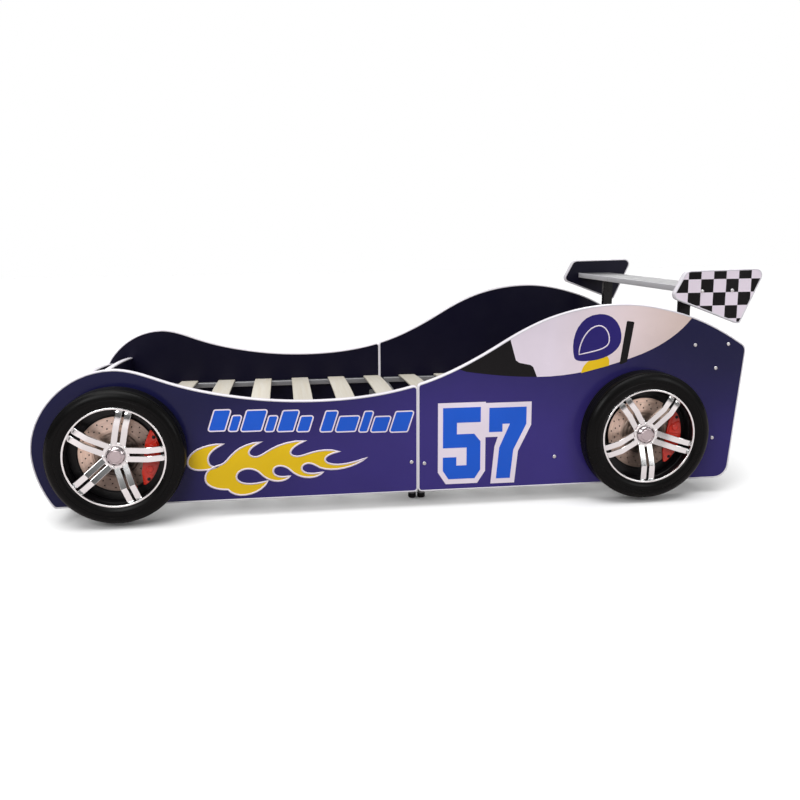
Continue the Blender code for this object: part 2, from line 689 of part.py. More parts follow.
def build_wheel(label, axle_x, sign, spoke_turn):
    """One wheel. Its own Z axis is the axle, pointing outward from the side panel's face."""
    hub = bpy.data.objects.new(f"wheel_{label}", None)
    bpy.data.collections[PARTS].objects.link(hub)
    hub.location = (axle_x, sign * HALF_OUTER, PANEL_LIFT + AXLE_HEIGHT)
    hub.rotation_euler = (-sign * math.pi / 2, 0.0, 0.0)

    def turned_piece(part, profile, closed, sides, finish):
        name = f"{part}_{label}"
        piece = add(name, profile_mesh(name, profile, closed), finish)
        piece.parent = hub
        add_screw(piece, sides)
        return piece

    tyre = turned_piece("tyre", tyre_profile(), True, TURN_STEPS, "tyre_black")
    turned_piece("backplate", backplate_profile(), False, SMALL_TURN_STEPS, "backing_black")
    turned_piece("brake_disc", brake_disc_profile(), True, SMALL_TURN_STEPS, "disc_steel")
    turned_piece("centre_cap", centre_cap_profile(), False, SMALL_TURN_STEPS, "chrome")

    rim = turned_piece("rim", rim_profile(), True, TURN_STEPS, "chrome")
    boss = add_helper(f"hub_boss_{label}", profile_mesh(f"hub_boss_{label}", hub_profile(), True))
    add_screw(boss, SMALL_TURN_STEPS)
    spokes = add_helper(f"spokes_{label}", spokes_mesh(f"spokes_{label}"))
    for helper in (boss, spokes):
        helper.parent = hub
    for turning in (tyre, rim, boss, spokes):
        turning.rotation_euler = (0.0, 0.0, math.radians(spoke_turn))
    combine(rim, spokes, "UNION")
    combine(rim, boss, "UNION")

    name = f"caliper_{label}"
    curve, height = caliper_curve(name)
    caliper = add(name, solid_from_curve(name, curve, height), "caliper_red")
    caliper.parent = hub
    caliper.rotation_euler = (0.0, 0.0, math.radians(CALIPER_TURN))
    slot_name = f"caliper_slot_{label}"
    back = DISC_FRONT - DISC_THICKNESS - DISC_CLEARANCE
    slot_mesh = rod_mesh(slot_name, DISC_RADIUS + DISC_CLEARANCE, back, DISC_FRONT + DISC_CLEARANCE, 48)
    slot = add_helper(slot_name, slot_mesh)
    slot.parent = hub
    combine(caliper, slot, "DIFFERENCE")


def build_wheels():
    axles = (
        ("front", FRONT_AXLE_FROM_NOSE, FRONT_SPOKE_TURN),
        ("rear", from_tail(REAR_AXLE_FROM_TAIL), REAR_SPOKE_TURN),
    )
    for end, from_nose, spoke_turn in axles:
        for side, sign in SIDES:
            build_wheel(f"{end}_{side}", world_x(from_nose), sign, spoke_turn)


def main():
    clear_scene()
    collection(PARTS)
    collection(HELPERS)
    build_sides()
    build_joint_plates()
    build_cross_boards()
    build_struts()
    build_rails()
    build_leg_frames()
    build_slats()
    build_wheels()


main()
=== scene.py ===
"""Looks for a child's bed in the shape of an open racing car.

Laid out as a Blender add-on and run as a script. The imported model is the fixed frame: metres, +Z up, the nose
towards -X, the left side at -Y. Every finished piece sits at the origin with its place in its mesh.
"""

import math

import bmesh
import bpy
from bpy.props import FloatProperty, FloatVectorProperty, IntProperty, PointerProperty
from mathutils import Matrix, Vector


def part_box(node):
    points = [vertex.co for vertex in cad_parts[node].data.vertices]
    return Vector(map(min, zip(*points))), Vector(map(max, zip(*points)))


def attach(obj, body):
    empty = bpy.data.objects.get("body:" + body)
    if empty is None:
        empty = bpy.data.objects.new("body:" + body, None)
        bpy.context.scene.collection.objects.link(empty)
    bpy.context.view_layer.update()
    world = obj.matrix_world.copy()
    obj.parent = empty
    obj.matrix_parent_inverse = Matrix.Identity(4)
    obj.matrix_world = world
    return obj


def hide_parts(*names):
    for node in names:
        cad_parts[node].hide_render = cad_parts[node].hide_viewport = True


bl_info = {
    "name": "Racing car bed looks",
    "version": (1, 0, 0),
    "blender": (4, 5, 0),
    "location": "3D View > Sidebar > Car bed",
    "description": "Dresses the frame of a racing-car bed with edging, prints, wheels, slats and finishes",
    "category": "Object",
}

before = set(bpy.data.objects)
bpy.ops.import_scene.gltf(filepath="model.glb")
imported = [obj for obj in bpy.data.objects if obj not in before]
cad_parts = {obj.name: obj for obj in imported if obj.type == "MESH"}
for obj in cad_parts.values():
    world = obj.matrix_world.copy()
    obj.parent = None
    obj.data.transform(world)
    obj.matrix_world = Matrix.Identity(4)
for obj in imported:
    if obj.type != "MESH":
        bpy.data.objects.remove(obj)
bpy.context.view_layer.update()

SIDES = {"left": -1, "right": 1}
WHEELS = [(f"{end}_{side}", end) for end in ("front", "rear") for side in SIDES]
BED = "bed"
ORIGIN = (0.0, 0.0, 0.0)

PANEL_LOW, PANEL_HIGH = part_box("side_front_left")
NOSE_X = PANEL_LOW.x
TAIL_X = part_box("side_rear_left")[1].x
PANEL_Z = PANEL_LOW.z
HALF_OUTER = abs(PANEL_LOW.y)
HALF_INNER = abs(PANEL_HIGH.y)
BOARD = HALF_OUTER - HALF_INNER
GAP = 0.0003  # left between touching pieces in the frame


# ---------------------------------------------------------------- sizes and colours
def metres(name, description, default):
    return FloatProperty(
        name=name, description=description, default=default, min=0.0, precision=4, unit="LENGTH"
    )


def shade(name, description, default):
    return FloatVectorProperty(
        name=name, description=description, default=default, size=3, subtype="COLOR", min=0.0, max=1.0
    )


class BedSizes(bpy.types.PropertyGroup):
    lip: metres("Edging lip", "How far the white edging reaches over a board's faces", 0.0045)
    proud: metres("Edging proud", "How far the edging stands out from the board", 0.0012)
    print_step: metres("Print step", "Thickness of each printed layer", 0.00018)
    flame_line: metres("Flame outline", "Width of the light line round the flames", 0.0052)
    number_line: metres("Number border", "Width of the border round the race number", 0.0155)
    dash_line: metres("Dash border", "Width of the border round the slanting dashes", 0.0040)
    chequer: metres("Chequer", "Side of one chequer", 0.0410)
    screw_head: metres("Screw head", "Radius of a screw head", 0.0058)
    slat_round: metres("Slat edge", "Rounding of the slats' long edges", 0.0022)


class BedColours(bpy.types.PropertyGroup):
    panel: shade("Panel blue", "Middle of the side panels", (0.043, 0.030, 0.190))
    panel_end: shade("Panel ends", "Side panels at the nose and the tail", (0.010, 0.010, 0.052))
    inner: shade("Inner navy", "Inside faces of the boards", (0.0042, 0.0034, 0.0150))
    edging: shade("Edging", "Edging of the boards", (0.74, 0.71, 0.76))
    yellow: shade("Flame yellow", "Flames and collar", (0.82, 0.53, 0.012))
    print_white: shade("Print white", "Light parts of the prints", (0.84, 0.74, 0.84))
    number_blue: shade("Number blue", "Race number and dashes", (0.014, 0.105, 0.620))
    helmet: shade("Helmet blue", "Helmet in the cockpit print", (0.021, 0.014, 0.150))
    black: shade("Print black", "Dark parts of the prints", (0.0040, 0.0034, 0.0042))
    tyre: shade("Tyre", "Tyres", (0.0035, 0.0033, 0.0033))
    caliper: shade("Caliper", "Brake calipers", (0.66, 0.022, 0.007))
    slat: shade("Slat wood", "Pale wood of the slats", (0.555, 0.525, 0.465))
    steel: shade("Steel coat", "Rails and legs", (0.30, 0.30, 0.31))
    wing: shade("Wing silver", "Wing board", (0.105, 0.102, 0.110))
    floor: shade("Floor", "Floor", (0.86, 0.86, 0.86))


class WheelLooks(bpy.types.PropertyGroup):
    segments: IntProperty(name="Segments", description="Sides of the round pieces", default=112, min=24)
    pairs: IntProperty(name="Spoke pairs", description="Pairs of bars in each wheel", default=5, min=3)
    front_turn: FloatProperty(
        name="Front turn",
        description="Angle of the front wheels' first spoke",
        default=math.radians(3.5),
        subtype="ANGLE",
    )
    rear_turn: FloatProperty(
        name="Rear turn",
        description="Angle of the rear wheels' first spoke",
        default=math.radians(54.6),
        subtype="ANGLE",
    )
    ring: metres("Ring radius", "Outer radius of the bright ring", 0.148)
    ring_front: metres("Ring front", "Front of the ring, off the panel", 0.0605)
    bar_width: metres("Bar width", "Width of one spoke bar", 0.0180)
    bar_gap: metres("Bar gap", "Gap between the two bars of a pair", 0.0075)
    hub_front: metres("Hub front", "Front of the hub, off the panel", 0.0365)
    knee: metres("Knee radius", "Where the bars bend", 0.0938)
    knee_front: metres("Knee front", "Front of the bars at the bend", 0.0611)
    disc: metres("Disc radius", "Outer radius of the brake disc", 0.112)
    disc_front: metres("Disc front", "Front of the brake disc, off the panel", 0.0140)
    hole: metres("Disc hole", "Radius of a drilled hole", 0.0024)
    holes: IntProperty(name="Holes", description="Holes in one ring of the disc", default=20, min=4)


def sizes():
    return bpy.context.scene.bed_sizes


def colours():
    return bpy.context.scene.bed_colours


def wheel_looks():
    return bpy.context.scene.bed_wheels


# ---------------------------------------------------------------- places
def at(from_nose, height):
    """A point on the side panels: distance from the nose, height over their lower edge."""
    return (NOSE_X + from_nose, PANEL_Z + height)


def stand(mesh, sign, base=HALF_OUTER):
    """Turns a mesh drawn flat (x, height, out) so that it stands on the left (-1) or right (1) face at base."""
    mesh.transform(Matrix(((1, 0, 0, 0), (0, 0, sign, sign * base), (0, 1, 0, 0), (0, 0, 0, 1))))
    if sign > 0:
        mesh.flip_normals()
    return mesh


def hub_matrix(wheel):
    """The wheel's own frame: Z along the axle, outwards from the panel's face."""
    sign = SIDES[wheel.rsplit("_", 1)[1]]
    low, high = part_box(f"tyre_{wheel}")
    middle = (low + high) / 2
    place = Vector((middle.x, sign * HALF_OUTER, middle.z))
    return Matrix.Translation(place) @ Matrix.Rotation(-sign * math.pi / 2, 4, "X")


def flat_loop(node, side):
    """The outline (x, height) of a board's face at its lowest (-1) or highest (1) y, as an ordered loop."""
    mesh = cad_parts[node].data
    edge = side * max(side * v.co.y for v in mesh.vertices)
    step = {}
    for face in mesh.polygons:
        keys = []
        for index in face.vertices:
            co = mesh.vertices[index].co
            keys.append((round(co.x, 5), round(co.z, 5)) if abs(co.y - edge) < 1e-5 else None)
        if None in keys:
            continue
        for a, b in zip(keys, keys[1:] + keys[:1]):
            if (b, a) in step:
                del step[(b, a)]
            else:
                step[(a, b)] = True
    following = {a: b for a, b in step}
    start = next(iter(following))
    loop = [start]
    while following[loop[-1]] != start:
        loop.append(following[loop[-1]])
    return loop


def top_height(loop, x):
    """The highest point of an outline at x."""
    best = -math.inf
    for (x0, z0), (x1, z1) in zip(loop, loop[1:] + loop[:1]):
        if min(x0, x1) - 1e-9 <= x <= max(x0, x1) + 1e-9 and x0 != x1:
            best = max(best, z0 + (z1 - z0) * (x - x0) / (x1 - x0))
    return best


# ---------------------------------------------------------------- outlines
def rounded(corners, steps=4):
    """The outline with each corner (x, y, radius) turned into an arc that is tangent to its two sides."""
    points = []
    for i, (x, y, radius) in enumerate(corners):
        corner = Vector((x, y))
        before = Vector(corners[i - 1][:2]) - corner
        after = Vector(corners[(i + 1) % len(corners)][:2]) - corner
        if radius <= 0.0:
            points.append((x, y))
            continue
        before.normalize()
        after.normalize()
        half = before.angle(after) / 2
        reach = radius / math.tan(half)
        centre = corner + (before + after).normalized() * (radius / math.sin(half))
        start = corner + before * reach - centre
        sweep = start.angle_signed(corner + after * reach - centre)
        for k in range(steps + 1):
            spot = centre + Matrix.Rotation(-sweep * k / steps, 2) @ start
            points.append((spot.x, spot.y))
    return points


def path(start, *spans, steps=9):
    """Points along joined cubic spans, each (leaving handle, arriving handle, end)."""
    points = [tuple(start)]
    for span in spans:
        a, b, c, d = (Vector(p) for p in (points[-1], *span))
        for k in range(1, steps + 1):
            t = k / steps
            s = 1.0 - t
            points.append(tuple(s**3 * a + 3 * s * s * t * b + 3 * s * t * t * c + t**3 * d))
    return points


def area(points):
    return sum(x0 * y1 - x1 * y0 for (x0, y0), (x1, y1) in zip(points, points[1:] + points[:1])) / 2


def grown(points, distance):
    """The outline moved outwards by a distance, with mitred corners."""
    turn = 1.0 if area(points) > 0 else -1.0
    moved = []
    for i, point in enumerate(points):
        here = Vector(point)
        before = (here - Vector(points[i - 1])).normalized()
        after = (Vector(points[(i + 1) % len(points)]) - here).normalized()
        n0 = Vector((before.y, -before.x)) * turn
        n1 = Vector((after.y, -after.x)) * turn
        mid = (n0 + n1).normalized()
        moved.append(tuple(here + mid * (distance / max(0.35, mid.dot(n0)))))
    return moved


# ---------------------------------------------------------------- meshes
def smooth(mesh, angle=35.0):
    for face in mesh.polygons:
        face.use_smooth = True
    mesh.set_sharp_from_angle(angle=math.radians(angle))
    return mesh


def meshed(form, name):
    mesh = bpy.data.meshes.new(name)
    form.to_mesh(mesh)
    form.free()
    return mesh


def prism(name, outlines, low, high, soft=0.0):
    """Flat closed solids with the given outlines, from height low to high."""
    form = bmesh.new()
    for outline in outlines:
        if area(outline) < 0:
            outline = outline[::-1]
        verts = [form.verts.new((x, y, high)) for x, y in outline]
        top = form.faces.new(verts)
        under = [form.verts.new((x, y, low)) for x, y in outline]
        form.faces.new(under[::-1])
        for k in range(len(verts)):
            form.faces.new((verts[k - 1], under[k - 1], under[k], verts[k]))
        if soft > 0.0:
            bmesh.ops.bevel(form, geom=list(top.edges), offset=soft, segments=2, affect="EDGES", profile=0.5)
    form.normal_update()
    return meshed(form, name)


def loft(name, rings, looped=False, capped=False):
    """A skin through rings of points. Its UVs run round each ring (0 to 1) and along the rings in metres."""
    form = bmesh.new()
    uv = form.loops.layers.uv.new("UVMap")
    count = len(rings[0])
    rows = [[form.verts.new(point) for point in ring] for ring in rings]
    along = [0.0]
    for ring, following in zip(rings, rings[1:] + rings[:1]):
        along.append(along[-1] + (Vector(following[0]) - Vector(ring[0])).length)
    steps = list(range(len(rows) - 1)) + ([len(rows) - 1] if looped else [])
    for i in steps:
        low, high = rows[i], rows[(i + 1) % len(rows)]
        for k in range(count):
            n = (k + 1) % count
            face = form.faces.new((low[k], low[n], high[n], high[k]))
            spots = ((k, i), (k + 1, i), (k + 1, i + 1), (k, i + 1))
            for corner, (u, v) in zip(face.loops, spots):
                corner[uv].uv = (u / count, along[v])
    if capped:
        form.faces.new(rows[0][::-1])
        form.faces.new(rows[-1])
    bmesh.ops.recalc_face_normals(form, faces=form.faces)
    return meshed(form, name)


def circle(radius, height, count):
    return [
        (radius * math.cos(2 * math.pi * k / count), radius * math.sin(2 * math.pi * k / count), height)
        for k in range(count)
    ]


def turned(name, profile, count, looped=True, capped=False):
    """A profile of (radius, height) turned about Z."""
    return smooth(loft(name, [circle(r, z, count) for r, z in profile], looped, capped))


def soft_square(width, depth, radius, steps=3):
    a, b = width / 2, depth / 2
    return rounded([(-a, -b, radius), (a, -b, radius), (a, b, radius), (-a, b, radius)], steps)


def joined(name, meshes):
    """One mesh of several, each with its own material slots kept."""
    form = bmesh.new()
    finishes = []
    for mesh in meshes:
        first = len(form.faces)
        form.from_mesh(mesh)
        form.faces.ensure_lookup_table()
        own = list(mesh.materials)
        for face in form.faces[first:]:
            finish = own[face.material_index] if own else None
            if finish is not None and finish not in finishes:
                finishes.append(finish)
            face.material_index = finishes.index(finish) if finish is not None else 0
    made = meshed(form, name)
    for finish in finishes:
        made.materials.append(finish)
    return made


def linked(name, data):
    made = bpy.data.objects.new(name, data)
    bpy.context.scene.collection.objects.link(made)
    return made


def place(name, mesh, body, slot, finish=None, stands_for=()):
    """Puts a finished mesh in the scene, riding on its body."""
    if finish is not None:
        mesh.materials.clear()
        mesh.materials.append(finish)
    mesh.name = name
    piece = linked(name, mesh)
    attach(piece, body)
    if stands_for:
        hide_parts(*stands_for)
    return piece


def dress(node, finish):
    """Gives a CAD node that stays a better material."""
    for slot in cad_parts[node].material_slots:
        slot.material = finish


# ---------------------------------------------------------------- geometry node trees
class Tree:
    """Adds nodes to a tree and links them."""

    def __init__(self, nodes_tree):
        self.tree = nodes_tree

    def add(self, kind, inputs=None, **settings):
        node = self.tree.nodes.new(kind)
        for key, value in settings.items():
            setattr(node, key, value)
        for key, value in (inputs or {}).items():
            if isinstance(value, bpy.types.NodeSocket):
                self.tree.links.new(value, node.inputs[key])
            else:
                node.inputs[key].default_value = value
        return node


def copied(build, given):
    """The object given as Copy, as one instance."""
    source = build.add("GeometryNodeObjectInfo", {"Object": given["Copy"], "As Instance": True})
    return source.outputs["Geometry"]


def spread(build, points, copy, **turn):
    """A copy on every point."""
    values = {"Points": points, "Instance": copy, **turn}
    return build.add("GeometryNodeInstanceOnPoints", values).outputs[0]


def growing_tree(name, inputs):
    """A new Geometry Nodes tree with a start geometry, named inputs of (kind, default) and one output."""
    tree = bpy.data.node_groups.new(name, "GeometryNodeTree")
    tree.interface.new_socket("Start", in_out="INPUT", socket_type="NodeSocketGeometry")
    for label, (kind, default) in inputs.items():
        made = tree.interface.new_socket(label, in_out="INPUT", socket_type=f"NodeSocket{kind}")
        if default is not None:
            made.default_value = default
    tree.interface.new_socket("Result", in_out="OUTPUT", socket_type="NodeSocketGeometry")
    build = Tree(tree)
    return build, build.add("NodeGroupInput").outputs


def end_tree(build, geometry, finish):
    whole = build.add("GeometryNodeRealizeInstances", {"Geometry": geometry})
    painted = build.add("GeometryNodeSetMaterial", {"Geometry": whole.outputs[0], "Material": finish})
    build.tree.links.new(painted.outputs[0], build.add("NodeGroupOutput").inputs[0])
    return build.tree


def follow_tree():
    """Sweeps a rounded bar along flat outlines; Shift moves it outwards."""
    inputs = {
        "Width": ("Float", 0.01),
        "Height": ("Float", 0.01),
        "Round": ("Float", 0.001),
        "Shift": ("Float", 0.0),
        "Finish": ("Material", None),
    }
    build, given = growing_tree("follow an outline", inputs)
    line = build.add("GeometryNodeMeshToCurve", {"Mesh": given["Start"]})
    upright = build.add("GeometryNodeSetCurveNormal", {"Curve": line.outputs[0]}, mode="Z_UP")
    size = {"Width": given["Width"], "Height": given["Height"]}
    bar = build.add("GeometryNodeCurvePrimitiveQuadrilateral", size)
    corner = {"Curve": bar.outputs[0], "Radius": given["Round"], "Count": 3}
    eased = build.add("GeometryNodeFilletCurve", corner, mode="POLY")
    offset = build.add("ShaderNodeCombineXYZ", {"X": given["Shift"]})
    place_at = {"Geometry": eased.outputs[0], "Translation": offset.outputs[0]}
    moved = build.add("GeometryNodeTransform", place_at)
    sweep = {"Curve": upright.outputs[0], "Profile Curve": moved.outputs[0], "Fill Caps": True}
    swept = build.add("GeometryNodeCurveToMesh", sweep)
    return end_tree(build, swept.outputs[0], given["Finish"])


def copies_tree():
    """Puts a copy of an object on every point of the start mesh."""
    build, given = growing_tree("copies on points", {"Copy": ("Object", None), "Finish": ("Material", None)})
    return end_tree(build, spread(build, given["Start"], copied(build, given)), given["Finish"])


def turned_copies(build, count, copy, radius=0.0, phase=0.0):
    """Copies round the Z axis, inside a tree."""
    ring = build.add("GeometryNodeMeshCircle", {"Vertices": count, "Radius": radius})
    index = build.add("GeometryNodeInputIndex")
    share = build.add("ShaderNodeMath", {0: index.outputs[0], 1: count}, operation="DIVIDE")
    angle = build.add("ShaderNodeMath", {0: share.outputs[0], 1: 2 * math.pi}, operation="MULTIPLY")
    turn = build.add("ShaderNodeCombineXYZ", {"Z": angle.outputs[0]})
    rotation = build.add("FunctionNodeEulerToRotation", {"Euler": turn.outputs[0]})
    turned = spread(build, ring.outputs[0], copy, Rotation=rotation.outputs[0])
    values = {"Geometry": turned, "Rotation": (0.0, 0.0, phase)}
    return build.add("GeometryNodeTransform", values).outputs[0]


def ring_tree():
    """Copies of an object turned round the Z axis."""
    inputs = {
        "Copy": ("Object", None),
        "Count": ("Int", 5),
        "Radius": ("Float", 0.0),
        "Finish": ("Material", None),
    }
    build, given = growing_tree("ring of copies", inputs)
    ring = turned_copies(build, given["Count"], copied(build, given), given["Radius"])
    return end_tree(build, ring, given["Finish"])


ROW_TURN = 0.11  # radians from one row of holes to the next


def drilled_tree(rows=3):
    """Rings of holes, each turned a little further than the last, cut through the start mesh."""
    inputs = {
        "Hole": ("Float", 0.0024),
        "Depth": ("Float", 0.03),
        "First row": ("Float", 0.08),
        "Row step": ("Float", 0.01),
        "Count": ("Int", 20),
        "Finish": ("Material", None),
    }
    build, given = growing_tree("drilled disc", inputs)
    drill = build.add(
        "GeometryNodeMeshCylinder", {"Vertices": 10, "Radius": given["Hole"], "Depth": given["Depth"]}
    )
    cuts = build.add("GeometryNodeJoinGeometry")
    for row in range(rows):
        reach = build.add("ShaderNodeMath", {0: given["Row step"], 1: float(row)}, operation="MULTIPLY")
        radius = build.add("ShaderNodeMath", {0: reach.outputs[0], 1: given["First row"]}, operation="ADD")
        ring = turned_copies(build, given["Count"], drill.outputs[0], radius.outputs[0], ROW_TURN * row)
        build.tree.links.new(ring, cuts.inputs[0])
    whole = build.add("GeometryNodeRealizeInstances", {"Geometry": cuts.outputs[0]})
    drilled = build.add(
        "GeometryNodeMeshBoolean",
        {"Mesh 1": given["Start"], "Mesh 2": whole.outputs[0]},
        operation="DIFFERENCE",
        solver="EXACT",
    )
    return end_tree(build, drilled.outputs[0], given["Finish"])


def slats_tree():
    """A row of copies along X."""
    inputs = {
        "Copy": ("Object", None),
        "Count": ("Int", 13),
        "First": ("Vector", None),
        "Pitch": ("Vector", None),
        "Finish": ("Material", None),
    }
    build, given = growing_tree("row of slats", inputs)
    row = build.add(
        "GeometryNodeMeshLine",
        {"Count": given["Count"], "Start Location": given["First"], "Offset": given["Pitch"]},
    )
    return end_tree(build, spread(build, row.outputs[0], copied(build, given)), given["Finish"])


def grow(tree_maker, start, values):
    """The mesh that a tree makes from a start mesh with these named input values."""
    name = tree_maker.__name__
    tree = bpy.data.node_groups.get(name)
    if tree is None:
        tree = tree_maker()
        tree.name = name
    base = linked("growing", start)
    step = base.modifiers.new("grow", "NODES")
    step.node_group = tree
    sockets = {s.name: s.identifier for s in tree.interface.items_tree if s.in_out == "INPUT"}
    for label, value in values.items():
        step[sockets[label]] = value
    graph = bpy.context.evaluated_depsgraph_get()
    mesh = bpy.data.meshes.new_from_object(base.evaluated_get(graph))
    base.modifiers.clear()
    bpy.data.objects.remove(base, do_unlink=True)
    for label, value in values.items():
        if isinstance(value, bpy.types.Object):
            bpy.data.objects.remove(value, do_unlink=True)
    if not mesh.polygons:
        raise RuntimeError(f"{name} made nothing")
    return mesh


def sample(name, mesh):
    """An object that a tree copies; grow removes it afterwards."""
    made = linked(name, mesh)
    made.hide_render = True
    return made


def line_mesh(name, loops, closed=True):
    mesh = bpy.data.meshes.new(name)
    points = []
    edges = []
    for loop in loops:
        first = len(points)
        points += [(x, y, 0.0) for x, y in loop]
        edges += [(first + k, first + k + 1) for k in range(len(loop) - 1)]
        if closed:
            edges.append((len(points) - 1, first))
    mesh.from_pydata(points, edges, [])
    return mesh


def point_mesh(name, points):
    mesh = bpy.data.meshes.new(name)
    mesh.from_pydata(points, [], [])
    return mesh


# ---------------------------------------------------------------- shader groups and materials
def shader_group(name, inputs):
    """A group with these inputs of (kind, default) that gives a colour, a roughness and a normal."""
    tree = bpy.data.node_groups.new(name, "ShaderNodeTree")
    for label, (kind, default) in inputs.items():
        socket = tree.interface.new_socket(label, in_out="INPUT", socket_type=f"NodeSocket{kind}")
        socket.default_value = default
    for label, kind in (("Colour", "Color"), ("Roughness", "Float"), ("Normal", "Vector")):
        tree.interface.new_socket(label, in_out="OUTPUT", socket_type=f"NodeSocket{kind}")
    build = Tree(tree)
    return build, build.add("NodeGroupInput").outputs


def give(build, *results):
    """Ends a shader group with its colour, roughness and normal."""
    out = build.add("NodeGroupOutput").inputs
    for label, result in zip(("Colour", "Roughness", "Normal"), results):
        build.tree.links.new(result, out[label])
    return build.tree


def noise(build, place_socket, scale, detail=3.0, roughness=0.5):
    values = {"Vector": place_socket, "Scale": scale, "Detail": detail, "Roughness": roughness}
    return build.add("ShaderNodeTexNoise", values).outputs["Fac"]


def span(build, value, low, high, to_low, to_high, **settings):
    """Maps a value from one range to another, held inside it."""
    values = {"Value": value, "From Min": low, "From Max": high, "To Min": to_low, "To Max": to_high}
    return build.add("ShaderNodeMapRange", values, **settings).outputs["Result"]


def maths(build, operation, first, second=0.0):
    return build.add("ShaderNodeMath", {0: first, 1: second}, operation=operation).outputs[0]


def times(build, *factors):
    """The product of two or more values."""
    product = factors[0]
    for factor in factors[1:]:
        product = maths(build, "MULTIPLY", product, factor)
    return product


def scaled(build, colour, amount):
    return build.add("ShaderNodeVectorMath", {0: colour, "Scale": amount}, operation="SCALE").outputs[0]


def mixed(build, share, first, second):
    made = build.add("ShaderNodeMix", {0: share, 6: first, 7: second}, data_type="RGBA")
    return made.outputs[2]


def object_spot(build):
    """X, Y and Z of the shaded point in the object's own coordinates."""
    return build.add("ShaderNodeSeparateXYZ", {0: build.add("ShaderNodeTexCoord").outputs["Object"]}).outputs


def coat_group():
    """Printed foil, paint or moulded plastic: cloudy gloss, faint specks and a fine skin."""
    name = "coat"
    if name in bpy.data.node_groups:
        return bpy.data.node_groups[name]
    inputs = {
        "Colour": ("Color", (0.5, 0.5, 0.5, 1.0)),
        "Roughness": ("Float", 0.3),
        "Cloud": ("Float", 0.08),
        "Skin scale": ("Float", 700.0),
        "Skin depth": ("Float", 0.05),
        "Dust": ("Float", 0.1),
    }
    build, given = shader_group(name, inputs)
    spot = build.add("ShaderNodeTexCoord").outputs["Object"]
    wide = noise(build, spot, 2.6, 4.0)
    tone = span(build, wide, 0.3, 0.7, 0.86, 1.10)
    toned = scaled(build, given["Colour"], tone)
    specks = span(build, noise(build, spot, 340.0, 2.0, 0.7), 0.64, 0.76, 0.0, 1.0)
    patches = span(build, noise(build, spot, 7.0, 3.0), 0.45, 0.7, 0.0, 1.0)
    dust = times(build, specks, patches, given["Dust"])
    dusted = mixed(build, dust, toned, (0.42, 0.40, 0.40, 1.0))
    cloud = span(build, noise(build, spot, 11.0, 5.0, 0.6), 0.3, 0.7, -1.0, 1.0)
    rough = maths(build, "ADD", given["Roughness"], times(build, cloud, given["Cloud"]))
    rougher = maths(build, "ADD", rough, times(build, dust, 0.5))
    skin = noise(build, spot, given["Skin scale"], 2.0)
    bump = build.add("ShaderNodeBump", {"Strength": given["Skin depth"], "Distance": 0.0004, "Height": skin})
    return give(build, dusted, rougher, bump.outputs[0])


def metal_group():
    """Bright or coated metal: smears that dull the shine, and fine scratches."""
    name = "metal"
    if name in bpy.data.node_groups:
        return bpy.data.node_groups[name]
    inputs = {
        "Colour": ("Color", (0.8, 0.8, 0.8, 1.0)),
        "Roughness": ("Float", 0.1),
        "Smear": ("Float", 0.06),
        "Tarnish": ("Float", 0.1),
        "Skin": ("Float", 0.02),
    }
    build, given = shader_group(name, inputs)
    spot = build.add("ShaderNodeTexCoord").outputs["Object"]
    smear = span(build, noise(build, spot, 24.0, 5.0, 0.65), 0.35, 0.7, 0.0, 1.0)
    fine = span(build, noise(build, spot, 130.0, 3.0), 0.4, 0.7, 0.0, 1.0)
    rough = maths(build, "ADD", given["Roughness"], times(build, smear, given["Smear"]))
    rougher = maths(build, "ADD", rough, times(build, given["Smear"], 0.4, fine))
    dark = scaled(build, given["Colour"], 0.62)
    worn = mixed(build, times(build, smear, given["Tarnish"]), given["Colour"], dark)
    scratches = noise(build, spot, 260.0, 3.0)
    bump = build.add("ShaderNodeBump", {"Strength": given["Skin"], "Distance": 0.001, "Height": scratches})
    return give(build, worn, rougher, bump.outputs[0])


def new_material(name):
    made = bpy.data.materials.new(name)
    made.use_nodes = True
    return made, Tree(made.node_tree), made.node_tree.nodes["Principled BSDF"]


def wire(build, shader, group, values, **shader_values):
    """Puts a group with its own values before the shader's colour, roughness and normal."""
    effect = build.add("ShaderNodeGroup", values, node_tree=group)
    for label, value in shader_values.items():
        shader.inputs[label.replace("_", " ")].default_value = value
    for given, wanted in (("Colour", "Base Color"), ("Roughness", "Roughness"), ("Normal", "Normal")):
        build.tree.links.new(effect.outputs[given], shader.inputs[wanted])


def finished(name, group, values, **shader_values):
    """A material whose colour, roughness and normal come from a group; made once for each name."""
    if name in bpy.data.materials:
        return bpy.data.materials[name]
    made, build, shader = new_material(name)
    wire(build, shader, group, values, **shader_values)
    return made


PRINT_SHINE = 0.16  # low, so that dark prints stay dark under soft light


def solid(colour, factor=1.0):
    return (*(part * factor for part in colour), 1.0)


def foil(name, colour, roughness=0.22, shine=PRINT_SHINE):
    values = {"Colour": solid(colour), "Roughness": roughness, "Cloud": 0.05, "Skin depth": 0.035, "Dust": 0.08}
    return finished(name, coat_group(), values, Specular_IOR_Level=shine)


def moulded(name, colour, roughness=0.32, grain=0.12, dust=0.12, shine=0.3):
    values = {
        "Colour": solid(colour),
        "Roughness": roughness,
        "Cloud": 0.09,
        "Skin scale": 420.0,
        "Skin depth": grain,
        "Dust": dust,
    }
    return finished(name, coat_group(), values, Specular_IOR_Level=shine)


def metal(name, colour, roughness, smear, tarnish, skin=0.02, metallic=1.0):
    values = {"Colour": solid(colour), "Roughness": roughness, "Smear": smear, "Tarnish": tarnish, "Skin": skin}
    return finished(name, metal_group(), values, Metallic=metallic)


def chrome():
    return metal("chrome", (0.70, 0.655, 0.66), 0.045, 0.07, 0.25, 0.012)


def cap_chrome():
    return metal("cap chrome", (0.50, 0.44, 0.45), 0.10, 0.09, 0.30, 0.020)


